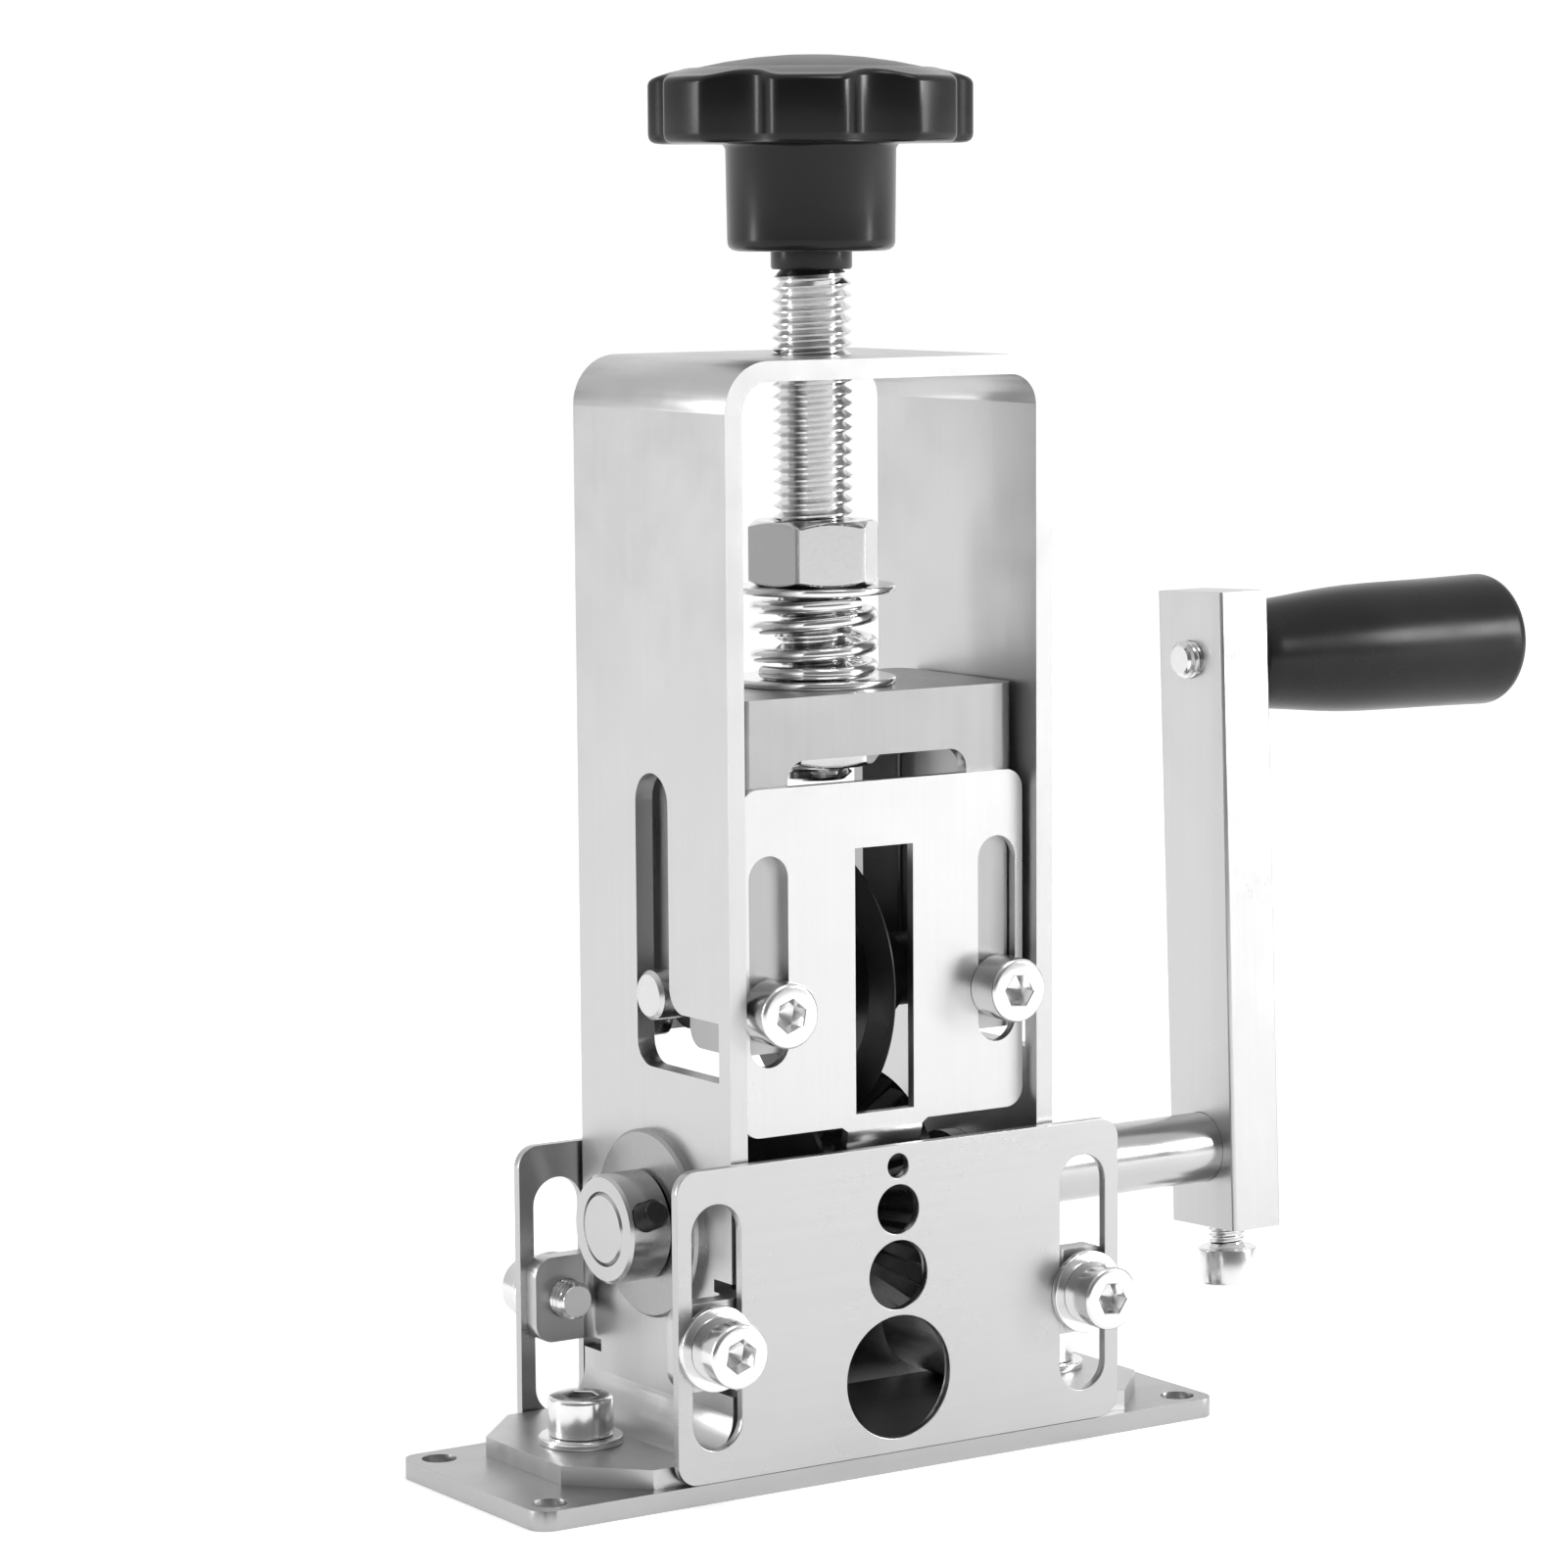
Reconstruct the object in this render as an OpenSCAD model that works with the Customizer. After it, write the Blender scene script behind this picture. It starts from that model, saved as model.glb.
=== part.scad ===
// Hand crank wire stripper: a toothed wheel drives the cable under a round blade,
// and a hand screw with a spring sets how deep the blade cuts.
// X runs along the drive shaft with the crank at plus X, the cable goes in from minus Y,
// and Z is up. The origin is the middle of the base plate's underside.

/* [Base plate] */
// How far the base plate reaches past the frame's feet
base_over = 12; // [10:0.5:16]
// Width of the base plate
base_w = 55; // [48:1:62]
// Thickness of the base plate
base_t = 4; // [3:0.5:6]
// Radius of the base plate's corners
base_corner_r = 4; // [2:0.5:5]
// Diameter of the four mounting holes
mount_hole_d = 7; // [5:0.5:8]
// Distance of the mounting holes from the plate's edges
mount_inset = 6; // [5.5:0.5:7]
// How far the frame stands off the plate's middle towards the crank
frame_shift_x = 2.5; // [0:0.5:4]
// How far the frame stands behind the plate's middle
frame_shift_y = 3; // [1:0.5:5]

/* [Frame] */
// Thickness of the frame's sheet
sheet_t = 4; // [3:0.5:5]
// Width of the frame over both walls
frame_w = 78; // [74:1:84]
// Depth of the frame from front to back
frame_d = 56; // [52:1:60]
// Height of the frame above the base plate
frame_h = 218.5; // [205:1:240]
// Outer radius of the two top bends
top_bend_r = 10; // [8:1:14]
// Inner radius of the bends at the feet
foot_bend_r = 8; // [5:1:10]
// Reach of each foot from the frame's wall
foot_reach = 31.5; // [28:0.5:34]
// Half width of each foot at its end
foot_end_half = 14.5; // [12:0.5:17]
// Length of the feet's corner cuts along the foot
foot_cut_l = 13; // [10:0.5:16]
// Distance of the foot screws from the frame's walls
foot_screw_out = 18; // [17:0.5:20]
// Width of the slots for the blade's axle
axle_slot_w = 12; // [11:0.5:13]
// Height of the axle slots' top above the shaft
axle_slot_top = 90.4; // [87:0.5:94]
// Height of the axle slots' floor above the shaft
axle_slot_floor = 31.5; // [30:0.5:34]
// Height of the slots' forward branch
axle_branch_h = 11.8; // [11:0.2:13]
// Reach of the slots' forward branch from the axle's line
axle_branch_reach = 24; // [20:1:25]
// Corner radius in the axle slots
axle_slot_r = 5; // [2:0.5:5.5]

/* [Ears] */
// Height of the four bent ears
ear_h = 17.6; // [16:0.4:20]
// Reach of the ears from the frame's walls
ear_reach = 13.2; // [12:0.4:15]
// How far the ears' faces stand proud of the frame's edges
ear_lead = 1; // [0.5:0.5:3]
// Inner bend radius of the ears
ear_bend_r = 2; // [1:0.5:3]
// Radius of the ears' outer corners
ear_corner_r = 4; // [2:0.5:6]
// Height of the relief notches above and below each ear
notch_h = 2.5; // [1.5:0.5:4]
// Depth of the relief notches past the bend
notch_d = 1.5; // [0.5:0.5:3]
// Height of the ears' screws above the base plate
ear_screw_h = 27.2; // [26:0.2:30]
// Distance of the ears' screws outward from the frame's walls
ear_screw_out = 6; // [5:0.2:6.4]

/* [Guide plates] */
// Distance of the guide plates' slots outward from the frame's walls
guide_slot_out = 5.4; // [5:0.2:6.4]
// Web outside the guide plates' slots
guide_side_web = 3.4; // [2:0.2:6]
// Height of the guide plates
guide_h = 62.4; // [62:0.2:64]
// Thickness of the guide plates
guide_t = 2; // [1.5:0.5:3]
// Corner radius of the guide plates
guide_corner_r = 4.5; // [3:0.5:6]
// Width of the guide plates' slots
guide_slot_w = 11.4; // [10:0.2:12]
// Length of the guide plates' slots
guide_slot_l = 49; // [44:1:52]
// Height of the slots' lower end above the plate's lower edge
guide_slot_low = 6.4; // [5:0.2:8]
// Diameters of the four cable holes from the bottom up
guide_hole_1 = 25; // [20:0.5:25]
// Second cable hole
guide_hole_2 = 14; // [12:0.5:14]
// Third cable hole
guide_hole_3 = 10; // [8:0.5:10]
// Smallest cable hole
guide_hole_4 = 5; // [3:0.5:5]
// Web between neighbouring cable holes
guide_web = 1.3; // [1:0.1:1.4]
// Web below the largest cable hole
guide_foot_web = 2.8; // [2:0.1:3]
// Sideways place of the row of cable holes
guide_hole_x = -1.3; // [-2:0.1:2]

/* [Drive] */
// Diameter of the drive shaft
shaft_d = 15; // [12:1:16]
// Height of the shaft above the base plate's top
shaft_h = 46.4; // [44:0.2:50]
// Outer diameter of the bearing bushes' sleeves
bush_d = 22; // [20:1:24]
// Diameter of the bushes' flanges
flange_d = 38; // [32:1:39]
// Thickness of the bushes' flanges
flange_t = 2.5; // [2:0.5:4]
// Bevel on the rim of the bushes' flanges
flange_bevel = 0.6; // [0.2:0.2:1]
// Length of the bushes inside the frame
bush_inner_l = 4; // [2:0.5:8]
// Outer diameter of the shaft collars
collar_d = 22; // [20:1:26]
// Width of the shaft collars
collar_w = 9.6; // [8:0.2:12]
// Diameter of the grub screws
grub_d = 6; // [5:1:6]
// Length of the collars' grub screws
grub_l = 8; // [6:1:10]
// Distance of the grub screws from the collars' outer faces
grub_in = 3.6; // [3.4:0.1:4.2]
// Turn of the grub screws up from the front in degrees
grub_lean = 20; // [0:5:45]
// Diameter of the drive wheel over its lands
wheel_d = 52.6; // [50:0.2:54]
// Width of the drive wheel
wheel_w = 26.6; // [24:0.2:30]
// Diameter of the wheel at the bottom of its groove
groove_d = 34; // [31:0.5:35]
// Width of the groove's floor
groove_floor_w = 4; // [3.6:0.2:6]
// Width of each land beside the groove
land_w = 2.8; // [2:0.2:4]
// Number of teeth round each flank of the groove
tooth_n = 36; // [30:1:40]
// Diameter of the wheel's grub screw
wheel_grub_d = 5; // [4:0.5:6]
// Depth of the teeth
tooth_depth = 1.7; // [1.2:0.1:2]
// Width of the gaps between the teeth
tooth_gap_w = 4.2; // [3:0.1:4.4]
// Side of the square key between shaft and wheel
key_size = 5; // [4:1:6]

/* [Crank] */
// Distance of the crank arm from the frame's wall
arm_out = 60.4; // [50:0.4:75]
// Thickness of the crank arm along the shaft
arm_t = 12.8; // [10:0.4:15]
// Width of the crank arm
arm_w = 21.8; // [20:0.2:25]
// Radius of the arm's long edges
arm_edge_r = 0.8; // [0.4:0.1:2]
// Length of the arm beyond the handle's axis
arm_head = 14.4; // [12:0.2:18]
// Length of the arm below the shaft's axis
arm_foot = 17.2; // [14:0.2:22]
// Distance from the shaft's axis to the handle's axis
crank_r = 105; // [90:1:120]
// Lean of the arm backwards in degrees
arm_lean = 2.4; // [0:0.2:10]
// Gap between the arm and its clamp screw's head
clamp_gap = 5.2; // [1:0.2:8]
// Diameter of the handle's spindle
spindle_d = 8; // [6:1:9]
// Length of the turning grip
grip_l = 71; // [60:1:90]
// Diameter of the grip beside the arm
grip_d_near = 22.6; // [20:0.2:25]
// Diameter of the grip at its middle
grip_d_mid = 27.8; // [26:0.2:28.4]
// Largest diameter of the grip
grip_d_far = 29; // [28.6:0.2:32]
// Edge radius of the grip's far end
grip_edge_r = 3.5; // [2:0.5:5]

/* [Blade] */
// Diameter of the round blade
blade_d = 56.6; // [54:0.2:60]
// Thickness of the blade
blade_t = 3; // [2:0.2:3.4]
// Width of the ground bevel
bevel_w = 7; // [3:0.5:9]
// Gap between the blade and the wheel's groove at rest
blade_gap = 0.7; // [0.6:0.1:1.5]
// Diameter of the blade's axle
axle_d = 10; // [8:1:10]
// Diameter of the hub on each side of the blade
hub_d = 18.6; // [16:0.4:22]
// Width of the hub on each side of the blade
hub_w = 14.2; // [10:0.2:16]
// Diameter of the spacer tubes on the axle
spacer_d = 15; // [14:0.5:18]

/* [Carriage] */
// Thickness of the carriage's sheet
carriage_t = 3; // [2.5:0.5:3.5]
// Reach of the carriage in front of the axle
carriage_front = 22.6; // [21:0.2:24]
// Reach of the carriage behind the axle
carriage_back = 17.4; // [17.4:0.2:20]
// Height of the carriage's top above the axle
carriage_top = 60; // [58:0.5:64]
// Height of the carriage
carriage_h = 70; // [66:0.5:71]
// Outer corner radius of the carriage
carriage_r = 3.5; // [3.5:0.5:5]
// Width of the carriage's legs beside its front and back openings
carriage_leg_w = 12.4; // [11:0.2:14]
// Height of the openings' top edge above the axle
carriage_open_top = 47.5; // [44:0.5:50]
// Corner radius of the carriage's openings
carriage_open_r = 4; // [2:0.5:5]
// Width of the axle's slots in the carriage's sides
carriage_slot_w = 11.2; // [10.6:0.2:12]
// Corner radius at the mouth of the carriage's slots
carriage_slot_r = 4; // [2:0.5:5]

/* [Guard plate] */
// Thickness of the guard plate
guard_t = 2; // [1.5:0.5:2.5]
// Height of the guard plate above the axle
guard_top = 42.7; // [41:0.5:44]
// Height of the flat guard plate
guard_h = 69; // [67:0.5:70]
// Corner radius of the guard plate
guard_corner_r = 4; // [2:0.5:6]
// Width of the window over the blade
window_w = 14; // [10:0.5:16]
// Height of the window over the blade
window_h = 53.4; // [48:0.2:55]
// Height of the window's sill above the plate's lower edge
window_sill = 2.4; // [2:0.2:4]
// Distance of the guard's slots from the plate's edges
guard_slot_in = 6.4; // [5.6:0.1:7]
// Width of the guard's slots
guard_slot_w = 9.2; // [8.8:0.2:10]
// Length of the guard's slots
guard_slot_l = 42; // [38:1:44]
// Height of the slots' lower end above the plate's lower edge
guard_slot_low = 13.8; // [12:0.2:15]
// Height of the guard's screws below the axle
guard_screw_drop = 1.2; // [0:0.2:2]
// Width of the relief notches beside the lip
lip_notch_w = 1.4; // [0.8:0.2:2]
// Width of the bent lip in the middle of the lower edge
lip_w = 18; // [14:0.5:18]
// Straight length of the lip above its bend
lip_straight = 1; // [0.5:0.5:3]
// Inner radius of the lip's bend
lip_r = 4.5; // [3:0.5:5]
// Angle of the lip's bend
lip_angle = 45; // [30:5:55]
// Radius of the lip's lower corners
lip_corner_r = 2.5; // [1:0.5:3]

/* [Screw and spring] */
// Diameter of the adjusting screw
screw_d = 16; // [14:1:16]
// Height of the knob's underside above the frame's top
knob_above = 20.5; // [20:0.5:32]
// Width across the flats of the nuts
nut_af = 24; // [22:1:24]
// Height of the nuts
nut_h = 13; // [10:0.5:14]
// Turn of the nuts in degrees
nut_turn = 44; // [0:1:60]
// Diameter of the spring's washers
washer_d = 33; // [30:1:34]
// Thickness of the spring's washers
washer_t = 1.5; // [1:0.1:2.5]
// Outer diameter of the pressure spring
spring_d = 26; // [24:0.5:28]
// Diameter of the spring's wire
wire_d = 2.7; // [2:0.1:2.7]
// Length of the spring between its washers
spring_h = 17; // [16.5:0.5:24]
// Pitch of the closed turn at the spring's upper end
spring_pitch_top = 3.2; // [3.2:0.1:3.6]
// Pitch of the turn at the spring's lower end
spring_pitch_low = 4.5; // [4.5:0.1:6]
// Extra turn past the three full ones
spring_extra = 0.3; // [0:0.05:0.3]
// Turn of the spring's upper end from the crank's side to the front in degrees
spring_start = 75; // [0:5:355]
// Length of the screw below the lifting nut
screw_tail = 3; // [1:0.5:4]

/* [Knob] */
// Diameter of the knob over its lobes
knob_d = 65.2; // [58:0.2:72]
// Number of lobes
lobe_n = 7; // [5:1:9]
// Turn of the first lobe from the crank's side to the front in degrees
lobe_turn = 124; // [0:1:359]
// Depth of the hollows between the lobes
lobe_depth = 4; // [2:0.5:5]
// Radius of the hollows between the lobes
lobe_r = 9; // [7:0.5:11]
// Diameter of the knob's hub
knob_hub_d = 34.2; // [30:0.2:36]
// Height of the knob's hub
knob_hub_h = 21.2; // [16:0.4:26]
// Height of the lobed rim
knob_rim_h = 12.5; // [10:0.5:15]
// Height of the domed top above the rim
knob_dome_h = 5.5; // [4:0.5:9]
// Edge radius of the knob's rim
knob_edge_r = 3; // [1.5:0.5:4]
// Edge radius of the hub's lower end
knob_foot_r = 2; // [0.5:0.5:4]
// Diameter of the sleeve under the knob
sleeve_d = 16.4; // [15:0.2:20]
// Height of the sleeve under the knob
sleeve_h = 3.6; // [2:0.2:5]
// Diameter of the screw's neck in the sleeve and the knob
neck_d = 12; // [8:1:13]
// Depth of the screw's neck in the knob
knob_socket = 24; // [15:1:30]

/* [Fasteners] */
// Thread diameter of the cap screws
cap_d = 8; // [6:1:8]
// Head diameter of the cap screws
cap_head_d = 13; // [12:0.5:14]
// Head height of the cap screws
cap_head_h = 8; // [6:0.5:9]
// Bevel on the rim of the cap screws' heads
cap_bevel = 0.6; // [0.2:0.1:1]
// Width of the hexagon sockets
socket_af = 6; // [5:0.5:7]
// Depth of the hexagon sockets
socket_depth = 4; // [2:0.5:5]
// Diameter of the cap screws' washers
cap_washer_d = 17; // [15:0.5:18]
// Thickness of the cap screws' washers
cap_washer_t = 1.6; // [1:0.1:2]
// Length of the guide plates' screws
guide_screw_l = 12; // [10:1:14]
// Length of the guard plate's screws
guard_screw_l = 8; // [6:1:10]

/* [Clearances] */
// Radial clearance of turning and sliding fits
run_fit = 0.1; // [0.05:0.05:0.2]
// Radial clearance of seated and threaded fits
seat_fit = 0.05; // [0.02:0.01:0.1]
// End play between turning and standing faces
end_play = 0.2; // [0.1:0.05:0.4]
// Clearance between the carriage and the frame's walls
carriage_play = 1.1; // [0.6:0.1:1.5]
// Gap between the guide plates and the base plate
guide_gap = 0.2; // [0.1:0.1:1]

/* [Hidden] */
$fn = 72;
eps = 0.5;
wall_out = frame_w / 2;
wall_in = wall_out - sheet_t;
frame_half_d = frame_d / 2;
frame_top_z = base_t + frame_h;
foot_top_z = base_t + sheet_t;
foot_end = wall_out + foot_reach;
foot_screw_x = wall_out + foot_screw_out;
base_l = 2 * (foot_end + base_over);
shaft_z = base_t + shaft_h;
mount_x = base_l / 2 - mount_inset;
mount_y = base_w / 2 - mount_inset;
ear_y = frame_half_d + ear_lead;
ear_bend_y = ear_y - sheet_t - ear_bend_r;
ear_z = base_t + ear_screw_h;
ear_screw_x = wall_out + ear_screw_out;
guide_slot_x = wall_out + guide_slot_out;
guide_w = 2 * (guide_slot_x + guide_slot_w / 2 + guide_side_web);
guide_z = base_t + guide_gap;
guide_face_y = ear_y + guide_t;
hole_1_z = guide_foot_web + guide_hole_1 / 2;
hole_2_z = hole_1_z + guide_hole_1 / 2 + guide_web + guide_hole_2 / 2;
hole_3_z = hole_2_z + guide_hole_2 / 2 + guide_web + guide_hole_3 / 2;
hole_4_z = hole_3_z + guide_hole_3 / 2 + guide_web + guide_hole_4 / 2;
flange_x = wall_out + flange_t;
collar_x = flange_x + end_play;
grub_x = collar_x + collar_w - grub_in;
shaft_left = collar_x + collar_w + end_play;
arm_x = wall_out + arm_out;
shaft_l = shaft_left + arm_x + arm_t;
wheel_r = wheel_d / 2;
groove_r = groove_d / 2;
flank_x = wheel_w / 2 - land_w;
flank_run = flank_x - groove_floor_w / 2;
flank_rise = wheel_r - groove_r;
flank_angle = atan2(flank_rise, flank_run);
flank_l = norm([flank_run, flank_rise]);
axle_z = shaft_z + groove_r + blade_gap + blade_d / 2;
carriage_half = wall_in - carriage_play;
carriage_in = carriage_half - carriage_t;
carriage_open_half = carriage_half - carriage_leg_w;
guard_slot_x = carriage_half - guard_slot_in;
carriage_top_z = axle_z + carriage_top;
carriage_low_z = carriage_top_z - carriage_h;
axle_half = wall_out + 1.2;
hub_end = blade_t / 2 + hub_w;
guard_y = carriage_front + guard_t;
guard_low_z = axle_z + guard_top - guard_h;
guard_screw_z = axle_z - guard_screw_drop;
lip_z = guard_low_z - lip_straight;
lift_nut_z = carriage_top_z - carriage_t - end_play - nut_h;
screw_low_z = lift_nut_z - screw_tail;
spring_z = carriage_top_z + washer_t;
upper_washer_z = spring_z + spring_h;
upper_nut_z = upper_washer_z + washer_t;
knob_z = frame_top_z + knob_above;
rim_z = knob_z + knob_hub_h;
rim_top_z = rim_z + knob_rim_h;
knob_top_z = rim_top_z + knob_dome_h;
dome_r = (pow(knob_d / 2, 2) + pow(knob_dome_h, 2)) / (2 * knob_dome_h);
neck_z = knob_z - sleeve_h;
screw_top_z = knob_z + knob_socket;
handle_end = arm_x + arm_t + end_play + grip_l;
spindle_head_d = spindle_d + 5;
spindle_head_l = 5;
cap_l = 6;
spring_turns = 3 + spring_extra;
spring_pitch_mid = spring_h - wire_d - 2 * end_play - spring_pitch_top - spring_pitch_low;
spring_sides = 6;
spring_steps = 8;
spring_rings = ceil(spring_turns * spring_steps);

// Placing helpers

// Moves what is drawn about the frame's middle to its place on the base plate
module on_frame() {
    translate([frame_shift_x, frame_shift_y, 0]) children();
}

// Stands a flat outline up, facing the front, with its back at the given y
module standing(back_y, thickness) {
    translate([0, back_y, 0]) rotate([90, 0, 0]) linear_extrude(thickness) children();
}

// Stands an outline drawn in y and z up across the shaft, from the given x
module across(x, thickness) {
    translate([x, 0, 0]) rotate([90, 0, 90]) linear_extrude(thickness) children();
}

// Turns a shape drawn about z so that it lies along the shaft
module along_shaft(x, z) {
    translate([x, 0, z]) rotate([0, 90, 0]) children();
}

// Tilts what is drawn upright about the shaft by the crank's lean
module leaning() {
    translate([0, 0, shaft_z]) rotate([-arm_lean, 0, 0]) children();
}

// Flat outlines

// Rectangle with round corners, about its middle
module round_rect(w, h, r) {
    square([w - 2 * r, h], center = true);
    square([w, h - 2 * r], center = true);
    for (sx = [-1, 1], sy = [-1, 1]) {
        translate([sx * (w / 2 - r), sy * (h / 2 - r)]) circle(r);
    }
}

// Upright slot with round ends, standing on y = 0
module slot_outline(w, l) {
    translate([-w / 2, w / 2]) square([w, l - w]);
    translate([0, w / 2]) circle(d = w);
    translate([0, l - w / 2]) circle(d = w);
}

// Opening with round upper corners, from y = 0 up
module arch_outline(half_w, h, r) {
    translate([-half_w, 0]) square([2 * half_w, h - r]);
    translate([r - half_w, 0]) square([2 * (half_w - r), h]);
    for (s = [-1, 1]) {
        translate([s * (half_w - r), h - r]) circle(r);
    }
}

// Fasteners

// Socket head cap screw, head upwards, seated at z = 0
module cap_screw(length) {
    color([0.82, 0.83, 0.85]) difference() {
        union() {
            cylinder(d = cap_head_d, h = cap_head_h - cap_bevel);
            translate([0, 0, cap_head_h - cap_bevel])
                cylinder(d1 = cap_head_d, d2 = cap_head_d - 2 * cap_bevel, h = cap_bevel);
            translate([0, 0, -length]) cylinder(d = cap_d, h = length + eps);
        }
        translate([0, 0, cap_head_h - socket_depth])
            cylinder(d = socket_af / cos(30), h = socket_depth + eps, $fn = 6);
    }
}

// Flat washer standing on z = 0
module flat_washer(outer_d, inner_d, thickness) {
    color([0.85, 0.86, 0.88]) difference() {
        cylinder(d = outer_d, h = thickness);
        translate([0, 0, -eps]) cylinder(d = inner_d, h = thickness + 2 * eps);
    }
}

// Hexagon nut with chamfered corners standing on z = 0
module hex_nut() {
    corner_d = nut_af / cos(30);
    chamfer_h = (corner_d - nut_af) / 2 * tan(30);
    color([0.8, 0.81, 0.83]) difference() {
        intersection() {
            rotate(nut_turn) cylinder(d = corner_d, h = nut_h, $fn = 6);
            union() {
                cylinder(d1 = nut_af, d2 = corner_d, h = chamfer_h);
                translate([0, 0, chamfer_h]) cylinder(d = corner_d, h = nut_h - 2 * chamfer_h);
                translate([0, 0, nut_h - chamfer_h])
                    cylinder(d1 = corner_d, d2 = nut_af, h = chamfer_h);
            }
        }
        translate([0, 0, -eps]) cylinder(d = screw_d + 2 * seat_fit, h = nut_h + 2 * eps);
    }
}

// Base plate

module base_plate() {
    color([0.72, 0.73, 0.75]) difference() {
        linear_extrude(base_t) round_rect(base_l, base_w, base_corner_r);
        for (sx = [-1, 1], sy = [-1, 1]) {
            translate([sx * mount_x, sy * mount_y, -eps])
                cylinder(d = mount_hole_d, h = base_t + 2 * eps);
        }
        on_frame() for (s = [-1, 1]) {
            translate([s * foot_screw_x, 0, -eps])
                cylinder(d = cap_d + 2 * seat_fit, h = base_t + 2 * eps);
        }
    }
}

// Frame

// Bent outline of the frame seen from the front
module frame_outline() {
    leg_z = foot_top_z + foot_bend_r;
    translate([0, leg_z]) difference() {
        arch_outline(wall_out, frame_top_z - leg_z, top_bend_r);
        translate([0, -eps])
            arch_outline(wall_in, frame_top_z - sheet_t - leg_z + eps, top_bend_r - sheet_t);
    }
    for (s = [-1, 1]) scale([s, 1]) {
        translate([wall_out + foot_bend_r, leg_z]) intersection() {
            difference() {
                circle(foot_bend_r + sheet_t);
                circle(foot_bend_r);
            }
            translate([-2 * wall_out, -2 * wall_out]) square(2 * wall_out);
        }
        translate([wall_out + foot_bend_r, base_t])
            square([foot_end - wall_out - foot_bend_r, sheet_t]);
    }
}

// Slot for the blade's axle, in y and z, with its branch to the front
module axle_slot_outline() {
    half = axle_slot_w / 2;
    low = shaft_z + axle_slot_floor;
    branch_top = low + axle_branch_h;
    difference() {
        union() {
            translate([0, low + axle_slot_r])
                translate([-half, 0]) square([axle_slot_w, shaft_z + axle_slot_top - half - low - axle_slot_r]);
            translate([0, shaft_z + axle_slot_top - half]) circle(half);
            translate([-axle_branch_reach, low])
                square([axle_branch_reach + half - axle_slot_r, axle_branch_h]);
            translate([half - axle_slot_r, low + axle_slot_r]) circle(axle_slot_r);
            translate([-half - axle_slot_r, branch_top - eps])
                square([axle_slot_r + eps, axle_slot_r + eps]);
        }
        translate([-half - axle_slot_r, branch_top + axle_slot_r]) circle(axle_slot_r);
    }
}

// One ear at plus x and the front, bent out of the leg's edge
module ear() {
    height = ear_h;
    translate([0, 0, ear_z - height / 2]) {
        linear_extrude(height) translate([wall_out + ear_bend_r, -ear_bend_y]) {
            intersection() {
                difference() {
                    circle(ear_bend_r + sheet_t);
                    circle(ear_bend_r);
                }
                translate([-2 * wall_out, -2 * wall_out]) square(2 * wall_out);
            }
            translate([-ear_bend_r - sheet_t, -0.01]) square([sheet_t, eps]);
        }
    }
    standing(-ear_y + sheet_t, sheet_t) {
        flat_x = wall_out + ear_bend_r;
        flat_l = wall_out + ear_reach - flat_x;
        translate([flat_x, ear_z - height / 2]) {
            square([flat_l - ear_corner_r, height]);
            translate([0, ear_corner_r]) square([flat_l, height - 2 * ear_corner_r]);
            for (z = [ear_corner_r, height - ear_corner_r]) {
                translate([flat_l - ear_corner_r, z]) circle(ear_corner_r);
            }
        }
    }
}

// Room for one ear's bend and its relief notches in the leg's edge
module ear_notch() {
    height = ear_h + 2 * notch_h;
    translate([wall_in - eps, -ear_y - eps, ear_z - height / 2])
        cube([sheet_t + 2 * eps, ear_y - ear_bend_y + eps, height]);
    for (s = [-1, 1]) {
        translate([wall_in - eps, -ear_bend_y - eps, ear_z + s * (ear_h + notch_h) / 2 - notch_h / 2])
            cube([sheet_t + 2 * eps, notch_d + eps, notch_h]);
    }
}

// Corner cut off one foot at plus x and the front
module foot_cut() {
    far = foot_end + 1;
    slope = (frame_half_d - foot_end_half) / foot_cut_l;
    translate([0, 0, base_t - eps]) linear_extrude(sheet_t + 2 * eps) polygon([
        [foot_end - foot_cut_l - 1, -frame_half_d - slope],
        [far, -foot_end_half + slope],
        [far, -frame_half_d - slope]
    ]);
}

module frame() {
    on_frame() color([0.78, 0.79, 0.81]) difference() {
        union() {
            difference() {
                standing(frame_half_d, frame_d) frame_outline();
                for (sx = [0, 1], sy = [0, 1]) {
                    mirror([sx, 0, 0]) mirror([0, sy, 0]) ear_notch();
                }
            }
            for (sx = [0, 1], sy = [0, 1]) {
                mirror([sx, 0, 0]) mirror([0, sy, 0]) ear();
            }
        }
        for (sx = [0, 1], sy = [0, 1]) {
            mirror([sx, 0, 0]) mirror([0, sy, 0]) foot_cut();
        }
        across(-wall_out - 1, frame_w + 2) axle_slot_outline();
        along_shaft(-wall_out - 1, shaft_z)
            cylinder(d = bush_d + 2 * seat_fit, h = frame_w + 2);
        translate([0, 0, frame_top_z - sheet_t - 1])
            cylinder(d = screw_d + 2 * run_fit, h = sheet_t + 2);
        for (s = [-1, 1]) {
            translate([s * foot_screw_x, 0, base_t - eps])
                cylinder(d = cap_d + 1, h = sheet_t + 2 * eps);
            translate([s * ear_screw_x, ear_y + 1, ear_z]) rotate([90, 0, 0])
                cylinder(d = cap_d + 2 * seat_fit, h = 2 * ear_y + 2);
        }
    }
}

module foot_screws() {
    seat_z = foot_top_z + cap_washer_t;
    on_frame() for (s = [-1, 1]) {
        translate([s * foot_screw_x, 0, seat_z]) cap_screw(seat_z - 0.4);
    }
}

module foot_washers() {
    on_frame() for (s = [-1, 1]) {
        translate([s * foot_screw_x, 0, foot_top_z])
            flat_washer(cap_washer_d, cap_d + 2 * seat_fit, cap_washer_t);
    }
}

// Guide plates

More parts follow.
